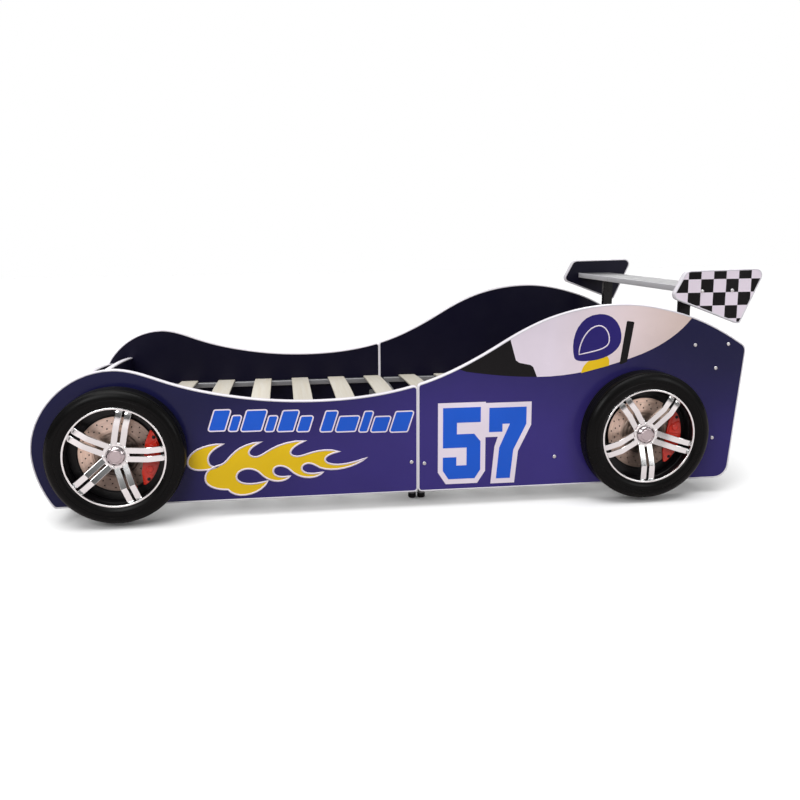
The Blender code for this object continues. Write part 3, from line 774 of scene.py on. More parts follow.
def screw_zinc():
    return metal("screw zinc", (0.62, 0.61, 0.62), 0.22, 0.12, 0.3, 0.04)


def steel_coat():
    return metal("steel coat", colours().steel, 0.34, 0.10, 0.15, 0.05, 0.55)


def black_plastic():
    return moulded("black plastic", colours().black, 0.38, 0.15)


def edging_finish():
    return foil("edging", colours().edging, 0.26, 0.2)


def panel_finish():
    """Blue foil that darkens to the nose and tail on the outside, near-black navy inside."""
    name = "panel foil"
    if name in bpy.data.materials:
        return bpy.data.materials[name]
    made, build, shader = new_material(name)
    spot = object_spot(build)
    nose = span(build, spot["X"], NOSE_X + 0.20, NOSE_X + 1.05, 1.0, 0.0)
    tail = span(build, spot["X"], TAIL_X - 0.70, TAIL_X - 0.10, 0.0, 0.45)
    ends = maths(build, "MAXIMUM", nose, tail)
    high = span(build, spot["Z"], PANEL_Z + 0.14, PANEL_Z + 0.50, 0.0, 0.66)
    shaded = maths(build, "ADD", ends, high)
    eased = span(build, shaded, 0.0, 1.0, 0.0, 1.0, interpolation_type="SMOOTHSTEP")
    blue = mixed(build, eased, solid(colours().panel), solid(colours().panel_end))
    outside = maths(build, "ABSOLUTE", spot["Y"])
    outer = span(build, outside, HALF_INNER + BOARD * 0.4, HALF_INNER + BOARD * 0.6, 0.0, 1.0)
    values = {
        "Colour": mixed(build, outer, solid(colours().inner), blue),
        "Roughness": span(build, outer, 0.0, 1.0, 0.40, 0.20),
        "Cloud": 0.05,
        "Skin depth": 0.035,
        "Dust": 0.06,
    }
    wire(build, shader, coat_group(), values, Specular_IOR_Level=PRINT_SHINE)
    return made


def screen_finish():
    """The cockpit's pale print, a little warmer towards the tail."""
    made, build, shader = new_material("screen print")
    share = span(build, object_spot(build)["X"], NOSE_X + 1.55, NOSE_X + 1.98, 0.0, 1.0)
    colour = mixed(build, share, solid(colours().print_white), (0.74, 0.58, 0.53, 1.0))
    wire(build, shader, coat_group(), {"Colour": colour, "Roughness": 0.22}, Specular_IOR_Level=PRINT_SHINE)
    return made


def chequer_finish(origin, size):
    """Black and white squares counted from a corner."""
    made, build, shader = new_material("chequers")
    spot = object_spot(build)
    cells = []
    for axis, start in zip("XZ", origin):
        shifted = maths(build, "SUBTRACT", spot[axis], start)
        cells.append(maths(build, "FLOOR", maths(build, "DIVIDE", shifted, size)))
    parity = maths(build, "FLOORED_MODULO", maths(build, "ADD", *cells), 2.0)
    colour = mixed(build, parity, solid(colours().print_white), solid(colours().black))
    wire(build, shader, coat_group(), {"Colour": colour, "Roughness": 0.22}, Specular_IOR_Level=PRINT_SHINE)
    return made


def wood_finish():
    """Pale veneer: long grain across the bed, a tone for each slat, plies in the edges."""
    made, build, shader = new_material("slat wood")
    coords = build.add("ShaderNodeTexCoord")
    stretched = build.add("ShaderNodeMapping", {"Vector": coords.outputs["Object"], "Scale": (70.0, 1.6, 70.0)})
    grain = noise(build, stretched.outputs[0], 1.0, 6.0, 0.62)
    fine = build.add("ShaderNodeMapping", {"Vector": coords.outputs["Object"], "Scale": (420.0, 9.0, 420.0)})
    pores = span(build, noise(build, fine.outputs[0], 1.0, 3.0), 0.60, 0.74, 0.0, 1.0)
    each = build.add("ShaderNodeMapping", {"Vector": coords.outputs["Object"], "Scale": (5.1, 0.25, 0.1)})
    tone = span(build, noise(build, each.outputs[0], 1.0, 1.0), 0.35, 0.65, 0.88, 1.06)
    pale = solid(colours().slat)
    warm = tuple(c * k for c, k in zip(colours().slat, (0.90, 0.85, 0.76))) + (1.0,)
    wood = mixed(build, span(build, grain, 0.35, 0.72, 0.0, 0.8), pale, warm)
    wood = mixed(build, times(build, pores, 0.35), wood, (0.34, 0.24, 0.15, 1.0))
    layers = build.add("ShaderNodeSeparateXYZ", {0: coords.outputs["UV"]}).outputs["Y"]
    plies = maths(build, "FLOOR", times(build, layers, 6.0))
    band = maths(build, "FLOORED_MODULO", plies, 2.0)
    inside = times(build, span(build, layers, 0.04, 0.06, 0.0, 1.0), span(build, layers, 0.94, 0.96, 1.0, 0.0))
    wood = mixed(build, times(build, band, inside, 0.35), wood, warm)
    toned = scaled(build, wood, tone)
    build.tree.links.new(toned, shader.inputs["Base Color"])
    build.tree.links.new(span(build, grain, 0.3, 0.7, 0.46, 0.62), shader.inputs["Roughness"])
    bump = build.add("ShaderNodeBump", {"Strength": 0.18, "Distance": 0.0006, "Height": grain})
    build.tree.links.new(bump.outputs[0], shader.inputs["Normal"])
    return made


def disc_finish():
    """Turned steel: fine grooves round the axle, painted light and shade that make one side of the disc lighter
    and the opposite side darker, and a darker hat towards the axle.
    """
    made, build, shader = new_material("turned steel")
    coords = build.add("ShaderNodeTexCoord")
    spot = build.add("ShaderNodeSeparateXYZ", {0: coords.outputs["UV"]}).outputs
    along = build.add("ShaderNodeCombineXYZ", {"X": spot["Y"]}).outputs[0]
    grooves = noise(build, along, 2600.0, 2.0, 0.8)
    wide = span(build, noise(build, along, 160.0, 2.0), 0.35, 0.65, 0.0, 1.0)
    patch = span(build, noise(build, coords.outputs["Object"], 9.0, 3.0), 0.3, 0.7, 0.0, 1.0)
    colour = mixed(build, wide, (0.56, 0.41, 0.33, 1.0), (0.70, 0.52, 0.42, 1.0))
    colour = mixed(build, times(build, patch, 0.4), colour, (0.40, 0.33, 0.31, 1.0))
    # painted light and shade: lighter on the side at 0.375 of a turn round the axle, darker on the opposite
    # side
    turn = times(build, maths(build, "SUBTRACT", spot["X"], 0.375), 2 * math.pi)
    facing = span(build, maths(build, "COSINE", turn), -0.35, 0.75, 0.30, 1.35)
    # darker over the hat, towards the axle
    hat = span(build, spot["Y"], 0.0415, 0.0500, 1.0, 0.34)
    toned = scaled(build, colour, times(build, facing, hat))
    build.tree.links.new(toned, shader.inputs["Base Color"])
    build.tree.links.new(span(build, grooves, 0.2, 0.8, 0.30, 0.46), shader.inputs["Roughness"])
    bump = build.add("ShaderNodeBump", {"Strength": 0.35, "Distance": 0.0004, "Height": grooves})
    build.tree.links.new(bump.outputs[0], shader.inputs["Normal"])
    shader.inputs["Metallic"].default_value = 0.75
    return made


# ---------------------------------------------------------------- boards
class BED_OT_boards(bpy.types.Operator):
    """Finish the side panels and the boards across the bed"""

    bl_idname = "bed.boards"
    bl_label = "Boards"

    def execute(self, context):
        panel = panel_finish()
        for side in SIDES:
            for part in ("side_front", "side_rear", "wing_end_plate"):
                dress(f"{part}_{side}", panel)
        inner = foil("inner foil", colours().inner, 0.42, 0.15)
        for node in ("front_panel", "nose_panel", "headboard", "rear_deck"):
            dress(node, inner)
        return {"FINISHED"}


ARCH_FROM = 0.1  # a cross board's points higher than this over its foot belong to its arch
ARCH_INSET = 0.0006  # share by which the arch's edging stops short of the side panels


class BED_OT_edging(bpy.types.Operator):
    """Wrap the boards' edges in rounded edging"""

    bl_idname = "bed.edging"
    bl_label = "Edging"

    def execute(self, context):
        s = sizes()
        values = {
            "Width": s.lip + s.proud,
            "Height": BOARD + s.proud,
            "Round": s.proud * 1.9,
            "Shift": (s.proud - s.lip) / 2,
            "Finish": edging_finish(),
        }
        for side, sign in SIDES.items():
            for part in ("side_front", "side_rear", "wing_end_plate"):
                loop = flat_loop(f"{part}_{side}", sign)
                if area(loop) < 0:
                    loop = loop[::-1]
                strip = grow(follow_tree, line_mesh("outline", [loop]), values)
                smooth(stand(strip, sign, HALF_OUTER - BOARD / 2))
                place(f"edging_{part}_{side}", strip, BED, "panel_blue")
        for node in ("front_panel", "nose_panel"):
            low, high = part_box(node)
            crest = [v.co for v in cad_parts[node].data.vertices if v.co.z > low.z + ARCH_FROM]
            arch = sorted({(round(co.y, 4), round(co.z, 5)) for co in crest}, reverse=True)
            arch = [(y * (1.0 - ARCH_INSET), z) for y, z in arch]
            strip = grow(follow_tree, line_mesh("arch", [arch], closed=False), values)
            middle = (low.x + high.x) / 2
            strip.transform(Matrix(((0, 0, 1, middle), (1, 0, 0, 0), (0, 1, 0, 0), (0, 0, 0, 1))))
            place(f"edging_{node}", smooth(strip), BED, "inner_navy")
        return {"FINISHED"}


# ---------------------------------------------------------------- prints
def print_layer(name, outlines, layer, finish, flip=None):
    """Prints outlines on both side panels. flip is the x about which the right side's print is turned."""
    step = sizes().print_step
    for side, sign in SIDES.items():
        drawn = outlines
        if flip is not None and sign > 0:
            drawn = [[(2 * flip - x, z) for x, z in outline] for outline in outlines]
        mesh = prism(name, drawn, -step / 2, step * layer)
        place(f"{name}_{side}", stand(mesh, sign), BED, "panel_blue", finish)


def line_layer(name, loops, width, layer, finish, closed=True):
    """Draws a line of this width along outlines on both side panels."""
    step = sizes().print_step
    values = {"Width": width, "Height": step * (layer + 0.5), "Round": 0.0, "Shift": 0.0, "Finish": finish}
    for side, sign in SIDES.items():
        strip = grow(follow_tree, line_mesh("line", loops, closed), values)
        out = HALF_OUTER + step * (layer / 2 - 0.25)
        place(f"{name}_{side}", stand(strip, sign, out), BED, "panel_blue")


def spots(*points):
    return [at(x, z) for x, z in points]


def traced(start, *spans):
    """The points along cubic spans given as distances from the nose and heights; a loop's end is left out."""
    points = path(at(*start), *(spots(*span) for span in spans))
    return points[:-1] if spans[-1][-1] == start else points


# licks of flame that stream back from behind the front wheel
LICK = (
    (0.446, 0.118),
    ((0.444, 0.148), (0.480, 0.176), (0.556, 0.176)), ((0.520, 0.162), (0.500, 0.142), (0.508, 0.118)),
    ((0.512, 0.104), (0.530, 0.104), (0.540, 0.108)), ((0.510, 0.094), (0.452, 0.090), (0.446, 0.118)),
)
FLAME = (
    (0.496, 0.072),
    ((0.498, 0.098), (0.520, 0.106), (0.545, 0.112)), ((0.572, 0.122), (0.578, 0.172), (0.668, 0.178)),
    ((0.634, 0.166), (0.612, 0.142), (0.640, 0.132)), ((0.672, 0.124), (0.690, 0.178), (0.800, 0.176)),
    ((0.764, 0.166), (0.736, 0.140), (0.760, 0.130)), ((0.790, 0.118), (0.820, 0.158), (0.902, 0.138)),
    ((0.866, 0.134), (0.842, 0.118), (0.862, 0.104)), ((0.884, 0.090), (0.940, 0.098), (0.984, 0.116)),
    ((0.940, 0.082), (0.860, 0.070), (0.826, 0.098)), ((0.806, 0.112), (0.782, 0.104), (0.784, 0.088)),
    ((0.788, 0.072), (0.816, 0.068), (0.850, 0.076)), ((0.826, 0.052), (0.776, 0.056), (0.750, 0.086)),
    ((0.732, 0.106), (0.700, 0.106), (0.698, 0.086)), ((0.698, 0.068), (0.720, 0.062), (0.750, 0.068)),
    ((0.728, 0.044), (0.684, 0.050), (0.660, 0.080)), ((0.640, 0.104), (0.592, 0.100), (0.588, 0.074)),
    ((0.586, 0.050), (0.626, 0.040), (0.682, 0.056)), ((0.660, 0.012), (0.584, 0.000), (0.562, 0.034)),
    ((0.526, 0.034), (0.494, 0.048), (0.496, 0.072)),
)


class BED_OT_flames(bpy.types.Operator):
    """Print the yellow flames with their light outline"""

    bl_idname = "bed.flames"
    bl_label = "Flames"

    def execute(self, context):
        outlines = [traced(*LICK), traced(*FLAME)]
        print_layer("flames", outlines, 1.0, foil("flame yellow", colours().yellow))
        white = foil("print white", colours().print_white)
        for name, outline, layer in zip(("lick_line", "flame_line"), outlines, (1.5, 2.1)):
            line_layer(name, [outline], sizes().flame_line, layer, white)
        return {"FINISHED"}


DASH_GROUPS = (
    (0.512, (0.046, 0.024, 0.058, 0.024, 0.046, 0.034)),
    (0.842, (0.034, 0.058, 0.024, 0.046, 0.052)),
)
DASH_APART = 0.0125
DASH_LEAN = 0.020 / 0.060  # along the panel for each unit of height
DASH_CORNER = 0.004


def dash_outlines():
    """Two groups of slanting dashes that follow a line falling gently to the tail."""
    outlines = []
    for x, widths in DASH_GROUPS:
        for number, width in enumerate(widths):
            base = 0.218 - 0.028 * (x - 0.5) / 0.63
            height = 0.044 if number % 2 else 0.060
            lean = DASH_LEAN * height
            top, end = base + height, x + width
            corners = ((x, base), (end, base), (end + lean, top), (x + lean, top))
            outlines.append(rounded([(*at(*corner), DASH_CORNER) for corner in corners], 3))
            x += width + DASH_APART
    return outlines


class BED_OT_dashes(bpy.types.Operator):
    """Print the row of slanting dashes above the flames"""

    bl_idname = "bed.dashes"
    bl_label = "Dashes"

    def execute(self, context):
        outlines = dash_outlines()
        border = [grown(outline, sizes().dash_line) for outline in outlines]
        print_layer("dash_borders", border, 1.0, foil("print white", colours().print_white))
        print_layer("dashes", outlines, 1.8, foil("number blue", colours().number_blue))
        return {"FINISHED"}


DIGIT_FIVE = (
    (0.0, 1.0), (1.0, 1.0), (1.0, 0.79), (0.37, 0.79), (0.37, 0.63), (0.83, 0.63), (1.0, 0.52), (1.0, 0.12),
    (0.85, 0.0), (0.15, 0.0), (0.0, 0.12), (0.0, 0.31), (0.36, 0.31), (0.36, 0.19), (0.63, 0.19), (0.63, 0.44),
    (0.0, 0.44),
)
DIGIT_SEVEN = (
    (0.0, 1.0), (1.0, 1.0), (1.0, 0.76), (0.66, 0.40), (0.58, 0.0), (0.20, 0.0), (0.28, 0.44), (0.56, 0.77),
    (0.36, 0.77), (0.36, 0.66), (0.0, 0.66),
)

# the borders follow these plainer shapes, so that the digits' inner notches stay filled
BORDER_FIVE = ((0.0, 1.0), (1.0, 1.0), (1.0, 0.12), (0.85, 0.0), (0.15, 0.0), (0.0, 0.12))
BORDER_SEVEN = (
    (0.0, 1.0), (1.0, 1.0), (1.0, 0.76), (0.66, 0.40), (0.58, 0.0), (0.20, 0.0), (0.28, 0.44), (0.42, 0.66),
    (0.0, 0.66),
)
DIGIT_PLACE = (1.2175, 0.0345)
DIGIT_SIZE = (0.1180, 0.2260)
DIGITS_APART = 0.0265
DIGIT_DROP = 0.004  # the second digit stands this much lower


def set_out(shapes):
    """The digits' outlines in their places, one after the other."""
    outlines = []
    for number, shape in enumerate(shapes):
        x = DIGIT_PLACE[0] + number * (DIGIT_SIZE[0] + DIGITS_APART)
        z = DIGIT_PLACE[1] - DIGIT_DROP * number
        outlines.append([at(x + DIGIT_SIZE[0] * u, z + DIGIT_SIZE[1] * v) for u, v in shape])
    return outlines


class BED_OT_number(bpy.types.Operator):
    """Print the race number"""

    bl_idname = "bed.number"
    bl_label = "Race number"

    def execute(self, context):
        digits = set_out((DIGIT_FIVE, DIGIT_SEVEN))
        middle = NOSE_X + DIGIT_PLACE[0] + DIGIT_SIZE[0] + DIGITS_APART / 2
        border = [grown(shape, sizes().number_line) for shape in set_out((BORDER_FIVE, BORDER_SEVEN))]
        white = foil("print white", colours().print_white)
        for name, outline, layer in zip(("first_border", "second_border"), border, (1.0, 1.4)):
            print_layer(name, [outline], layer, white, flip=middle)
        print_layer("number", digits, 2.2, foil("number blue", colours().number_blue), flip=middle)
        return {"FINISHED"}


HELMET = (
    (1.6270, 0.405),
    ((1.612, 0.452), (1.628, 0.536), (1.704, 0.538)), ((1.752, 0.538), (1.776, 0.500), (1.776, 0.462)),
    ((1.776, 0.420), (1.724, 0.392), (1.660, 0.393)), ((1.642, 0.393), (1.630, 0.396), (1.6270, 0.405)),
)
VISOR = (
    (1.642, 0.414),
    ((1.640, 0.446), (1.664, 0.500), (1.702, 0.502)), ((1.728, 0.502), (1.742, 0.468), (1.736, 0.448)),
    ((1.730, 0.430), (1.700, 0.424), (1.642, 0.414)),
)
COLLAR = (
    (1.6501, 0.3560),
    ((1.655, 0.382), (1.672, 0.398), (1.700, 0.402)), ((1.715, 0.404), (1.728, 0.406), (1.7317, 0.407)),
    ((1.742, 0.398), (1.740, 0.388), (1.7393, 0.377)),
)
ROLL_BAR = ((1.7728, 0.3780), (1.7972, 0.3870), (1.8161, 0.5110), (1.7915, 0.5150))
PRINT_MARGIN = 0.003  # from the cockpit's print to the panel's top edge
VISOR_LINE = 0.0038


class BED_OT_cockpit(bpy.types.Operator):
    """Print the cockpit: screen, dash, helmet, collar and roll bar"""

    bl_idname = "bed.cockpit"
    bl_label = "Cockpit"

    def execute(self, context):
        edge = flat_loop("side_rear_left", -1)

        def top_run(start, end, count):
            run = [NOSE_X + start + (end - start) * k / count for k in range(count + 1)]
            return [(x, top_height(edge, x) - PRINT_MARGIN) for x in run]

        dash_step = spots((1.4431, 0.402), (1.454, 0.394), (1.4900, 0.386), (1.4980, 0.379), (1.5103, 0.3485))
        skyline = top_run(1.4245, 2.0020, 26)
        sill = path(
            skyline[-1],
            spots((1.965, 0.470), (1.900, 0.428), (1.820, 0.402)),
            spots((1.740, 0.376), (1.640, 0.346), (1.5103, 0.3485)),
        )
        front_sill = traced((1.5103, 0.3485), ((1.420, 0.351), (1.340, 0.362), (1.262, 0.3760)))
        screen = skyline + sill[1:-1] + dash_step[::-1]
        dash = top_run(1.266, 1.4245, 10) + dash_step + front_sill[1:-1]
        bar = rounded([(*at(*corner), 0.004) for corner in ROLL_BAR])
        print_layer("screen", [screen], 1.0, screen_finish())
        print_layer("dashboard", [dash], 1.0, foil("print black", colours().black))
        print_layer("collar", [traced(*COLLAR)], 1.5, foil("flame yellow", colours().yellow))
        print_layer("helmet", [traced(*HELMET)], 2.0, foil("helmet blue", colours().helmet))
        print_layer("roll_bar", [bar], 1.5, foil("print black", colours().black))
        line_layer("visor_line", [traced(*VISOR)], VISOR_LINE, 2.6, foil("print white", colours().print_white))
        return {"FINISHED"}


# ---------------------------------------------------------------- wing
class BED_OT_wing(bpy.types.Operator):
    """Finish the wing: chequered end plates, silver board, black struts"""

    bl_idname = "bed.wing"
    bl_label = "Wing"

    def execute(self, context):
        s = sizes()
        corner = at(1.9843, 0.5970)
        chequers = chequer_finish(corner, s.chequer)
        for side, sign in SIDES.items():
            loop = flat_loop(f"wing_end_plate_{side}", sign)
            face = prism("chequers", [grown(loop, -s.lip * 0.4)], -s.print_step / 2, s.print_step)
            place(f"chequers_{side}", stand(face, sign), BED, "end_plate", chequers)
        silver = metal("wing silver", colours().wing, 0.38, 0.10, 0.12, 0.03, 0.0)
        dress("wing_board", silver)
        low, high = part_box("wing_board")
        band = soft_square(BOARD + s.proud, s.lip, 0.0012)
        x, z = low.x - s.proud / 2, (low.z + high.z) / 2
        rings = [[(x + b, y, z + a) for a, b in band] for y in (low.y, high.y)]
        strip = smooth(loft("wing_edge", rings, capped=True))
        place("wing_edge", strip, BED, "wing_silver", foil("wing edge", (0.52, 0.51, 0.54), 0.3, 0.1))
        for side in SIDES:
            dress(f"wing_strut_{side}", moulded("strut black", colours().black, 0.30, 0.06))
        return {"FINISHED"}


# ---------------------------------------------------------------- screws
SIDE_SCREWS = ((2.018, 0.4337), (2.1275, 0.4340), (2.0900, 0.3587), (2.092, 0.133), (1.573, 0.093))
SIDE_SCREWS += ((1.120, 0.095), (1.160, 0.089), (0.116, 0.283))
PLATE_SCREWS = ((2.031, 0.601), (2.129, 0.602))


def screw_mesh(radius):
    """A domed head with a six-sided socket."""
    count = 24
    rings = []
    for share, height in ((1.0, -0.0002), (1.0, 0.0006), (0.93, 0.0013), (0.72, 0.0021), (0.52, 0.0024)):
        rings.append(circle(radius * share, height, count))
    for height in (0.0024, 0.0008):
        ring = []
        for k in range(count):
            angle = 2 * math.pi * k / count
            flat = radius * 0.40 / math.cos((angle % (math.pi / 3)) - math.pi / 6)
            ring.append((flat * math.cos(angle), flat * math.sin(angle), height))
        rings.append(ring)
    return smooth(loft("screw", rings, capped=True), 30)


class BED_OT_screws(bpy.types.Operator):
    """Put the screws in the side panels and end plates"""

    bl_idname = "bed.screws"
    bl_label = "Screws"

    def execute(self, context):
        points = point_mesh("screw points", [(*at(x, z), 0.0) for x, z in SIDE_SCREWS + PLATE_SCREWS])
        values = {"Finish": screw_zinc()}
        for side, sign in SIDES.items():
            values["Copy"] = sample("screw", screw_mesh(sizes().screw_head))
            heads = grow(copies_tree, points.copy(), values)
            place(f"screws_{side}", stand(heads, sign), BED, "steel_grey")
        return {"FINISHED"}


# ---------------------------------------------------------------- slatted base
SLAT_THICKNESS = 0.008
SLAT_STATIONS = 28  # steps along a slat's arch


def slat_mesh(low, high):
    """One arched slat about the middle of its box, with its plies in the UV map."""
    half = (high.y - low.y) / 2
    arch = (high.z - low.z) - SLAT_THICKNESS

    def rise(y):
        return arch * (1.0 - (y / half) ** 2)

    section = soft_square(high.x - low.x, SLAT_THICKNESS, sizes().slat_round, 3)
    stations = [-half + 2 * half * k / SLAT_STATIONS for k in range(SLAT_STATIONS + 1)]
    rings = [[(a, y, rise(y) + SLAT_THICKNESS / 2 + b) for a, b in section] for y in stations]
    mesh = loft("slat", rings, capped=True)
    uv = mesh.uv_layers["UVMap"].data
    for spot in mesh.loops:
        co = mesh.vertices[spot.vertex_index].co
        uv[spot.index].uv = (co.y, (co.z - rise(co.y)) / SLAT_THICKNESS)
    return smooth(mesh)


class BED_OT_slats(bpy.types.Operator):
    """Lay the row of arched wooden slats"""

    bl_idname = "bed.slats"
    bl_label = "Slats"

    def execute(self, context):
        names = sorted(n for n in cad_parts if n.startswith("slat_"))
        low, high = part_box(names[0])
        last_low, last_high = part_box(names[-1])
        first = Vector(((low.x + high.x) / 2, 0.0, low.z))
        pitch = ((last_low.x + last_high.x) / 2 - first.x) / (len(names) - 1)
        values = {
            "Copy": sample("slat", slat_mesh(low, high)),
            "Count": len(names),
            "First": tuple(first),
            "Pitch": (pitch, 0.0, 0.0),
            "Finish": wood_finish(),
        }
        slats = grow(slats_tree, point_mesh("nothing", [ORIGIN]), values)
        place("slats", slats, BED, "slat_cream", stands_for=names)
        return {"FINISHED"}


def square_tube(name, low, high, wall=0.0015, radius=0.0025):
    """A hollow tube along X that fills the box."""
    middle = (low + high) / 2
    size = high - low
    outer = soft_square(size.y, size.z, radius)
    inner = soft_square(size.y - 2 * wall, size.z - 2 * wall, radius - wall * 0.8)
    rings = []
    for section, x in ((outer, low.x), (outer, high.x), (inner, high.x), (inner, low.x)):
        rings.append([(x, middle.y + a, middle.z + b) for a, b in section])
    return smooth(loft(name, rings, looped=True), 50)


LEG_RADIUS = 0.011
LEG_INSET = 0.082
PLATE_CORNER = 0.008
FOOT_PROFILE = (
    (0.0098, 0.0), (0.0106, 0.0005), (0.0126, 0.0030), (0.0126, 0.0135), (0.0118, 0.0150), (0.0111, 0.0150),
)
CROSS_BAR = 0.020  # both sides of the leg frames' square bar


class BED_OT_steelwork(bpy.types.Operator):
    """Make the rails, leg frames, feet and joint plates"""

    bl_idname = "bed.steelwork"
    bl_label = "Steelwork"

    def execute(self, context):
        coat = steel_coat()
        feet = []
        for end in ("front", "rear"):
            for side in SIDES:
                node = f"rail_{end}_{side}"
                tube = square_tube(node, *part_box(node))
                place(f"{node}_tube", tube, BED, "steel_grey", coat, [node])
        for end in ("front", "mid_front", "mid_rear", "rear"):
            node = f"leg_frame_{end}"
            low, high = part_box(node)
            x = (low.x + high.x) / 2
            section = soft_square(CROSS_BAR, CROSS_BAR, 0.0025)
            z = high.z - CROSS_BAR / 2
            rings = [[(x + a, y, z + b) for a, b in section] for y in (low.y, high.y)]
            parts = [smooth(loft("bar", rings, capped=True))]
            for sign in (-1, 1):
                y = sign * (HALF_INNER - LEG_INSET)
                profile = (
                    (LEG_RADIUS * 0.98, 0.010), (LEG_RADIUS, 0.011), (LEG_RADIUS, high.z - 0.026),
                    (LEG_RADIUS * 1.12, high.z - 0.0225), (LEG_RADIUS * 1.22, high.z - 0.0195),
                )
                leg = turned("leg", profile, 32, looped=False, capped=True)
                leg.transform(Matrix.Translation((x, y, 0.0)))
                parts.append(leg)
                feet.append((x, y, 0.0))
            place(f"{node}_tubes", joined(node, parts), BED, "steel_grey", coat, [node])
        cap = turned("foot", FOOT_PROFILE, 24, looped=False, capped=True)
        values = {"Copy": sample("foot", cap), "Finish": moulded("foot rubber", colours().black, 0.6, 0.3)}
        place("feet", grow(copies_tree, point_mesh("feet", feet), values), BED, "strut_black")
        for side, sign in SIDES.items():
            node = f"joint_plate_{side}"
            low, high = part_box(node)
            corners = ((low.x, low.z), (high.x, low.z), (high.x, high.z), (low.x, high.z))
            outline = rounded([(*corner, PLATE_CORNER) for corner in corners])
            thick = high.y - low.y
            plate = prism(node, [outline], 0.0, thick, 0.0008)
            stand(plate, -sign, GAP - HALF_INNER)
            place(f"{node}_bevelled", plate, BED, "steel_grey", coat, [node])
            bolts = [(low.x + u, low.z + v, 0.0) for u in (0.022, 0.068) for v in (0.022, 0.078)]
            values = {"Copy": sample("bolt", screw_mesh(0.0065)), "Finish": screw_zinc()}
            heads = grow(copies_tree, point_mesh("bolts", bolts), values)
            place(f"joint_bolts_{side}", stand(heads, -sign, GAP + thick - HALF_INNER), BED, "steel_grey")
        return {"FINISHED"}


# ---------------------------------------------------------------- wheels
def arc(centre, radii, start, end, count):
    angles = [math.radians(start + (end - start) * k / count) for k in range(count + 1)]
    return [(centre[0] + radii[0] * math.cos(a), centre[1] + radii[1] * math.sin(a)) for a in angles]


def tyre_profile(bore, low, high, outside):
    """Round the tyre's section: bead, stepped side wall, shoulder, three shallow grooves, back."""
    radial, axial = 0.027, 0.023
    profile = [(bore, high - 0.0075), (bore + 0.0018, high - 0.0052), (bore + 0.0060, high - 0.0030)]
    wall = outside - radial
    profile += [(bore + 0.0095, high - 0.0008), (bore + 0.0130, high), (wall - 0.0030, high + 0.0001)]
    profile += [(wall - 0.0022, high - 0.0008), (wall - 0.0008, high - 0.0008)]
    profile += arc((outside - radial, high - axial), (radial, axial), 88, 34, 7)
    profile += [(outside - 0.0050, high - 0.0125), (outside - 0.0040, high - 0.0128)]
    profile += arc((outside - radial, high - axial), (radial, axial), 24, 0, 3)
    for groove in (0.66, 0.42, 0.18):
        z = low + (high - low) * groove * 0.78
        steps = ((0.0, 0.0022), (0.0016, 0.0014), (0.0016, -0.0014), (0.0, -0.0022))
        profile += [(outside - deep, z + up) for deep, up in steps]
    profile += arc((outside - 0.005, low + 0.005), (0.005, 0.005), 0, -90, 3)
    profile += [(bore + 0.002, low), (bore, low + 0.001)]
    return profile


class BED_OT_tyres(bpy.types.Operator):
    """Turn the four tyres"""

    bl_idname = "bed.tyres"
    bl_label = "Tyres"

    def execute(self, context):
        w = wheel_looks()
        rubber = moulded("tyre black", colours().tyre, 0.30, 0.08, 0.10, 0.09)
        for wheel, _ in WHEELS:
            low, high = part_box(f"tyre_{wheel}")
            across = abs(high.y - low.y)
            off = min(abs(high.y), abs(low.y)) - HALF_OUTER
            outside = (high.x - low.x) / 2
            tyre = turned("tyre", tyre_profile(w.ring + GAP, off, off + across, outside), w.segments)
            tyre.transform(hub_matrix(wheel))
            place(f"tyre_{wheel}_detailed", tyre, f"wheel_{wheel}", "tyre_black", rubber, [f"tyre_{wheel}"])
        return {"FINISHED"}


def bar_mesh(offset):
    """One spoke bar along +X: rises from the hub to the knee, falls to the rim and dips behind the ring."""
    w = wheel_looks()
    depth = 0.010
    stations = (
        (0.0330, w.hub_front - 0.0004),
        (0.0600, None),
        (w.knee - 0.0012, None),
        (w.knee + 0.0012, w.knee_front - 0.0001),
        (0.1150, None),
        (0.1330, 0.0583),
        (0.1345, 0.0578),
        (0.1420, 0.0535),
        (0.1455, 0.0520),
    )
    known = [(r, z) for r, z in stations if z is not None]
    known.insert(1, (w.knee, w.knee_front))
    rings = []
    for radius, height in stations:
        if height is None:
            (r0, z0), (r1, z1) = next(p for p in zip(known, known[1:]) if p[0][0] <= radius <= p[1][0])
            height = z0 + (z1 - z0) * (radius - r0) / (r1 - r0)
        section = soft_square(w.bar_width, depth, 0.0011, 2)
        rings.append([(radius, offset + a, height - depth / 2 + b) for a, b in section])
    return smooth(loft("bar", rings, capped=True), 20)


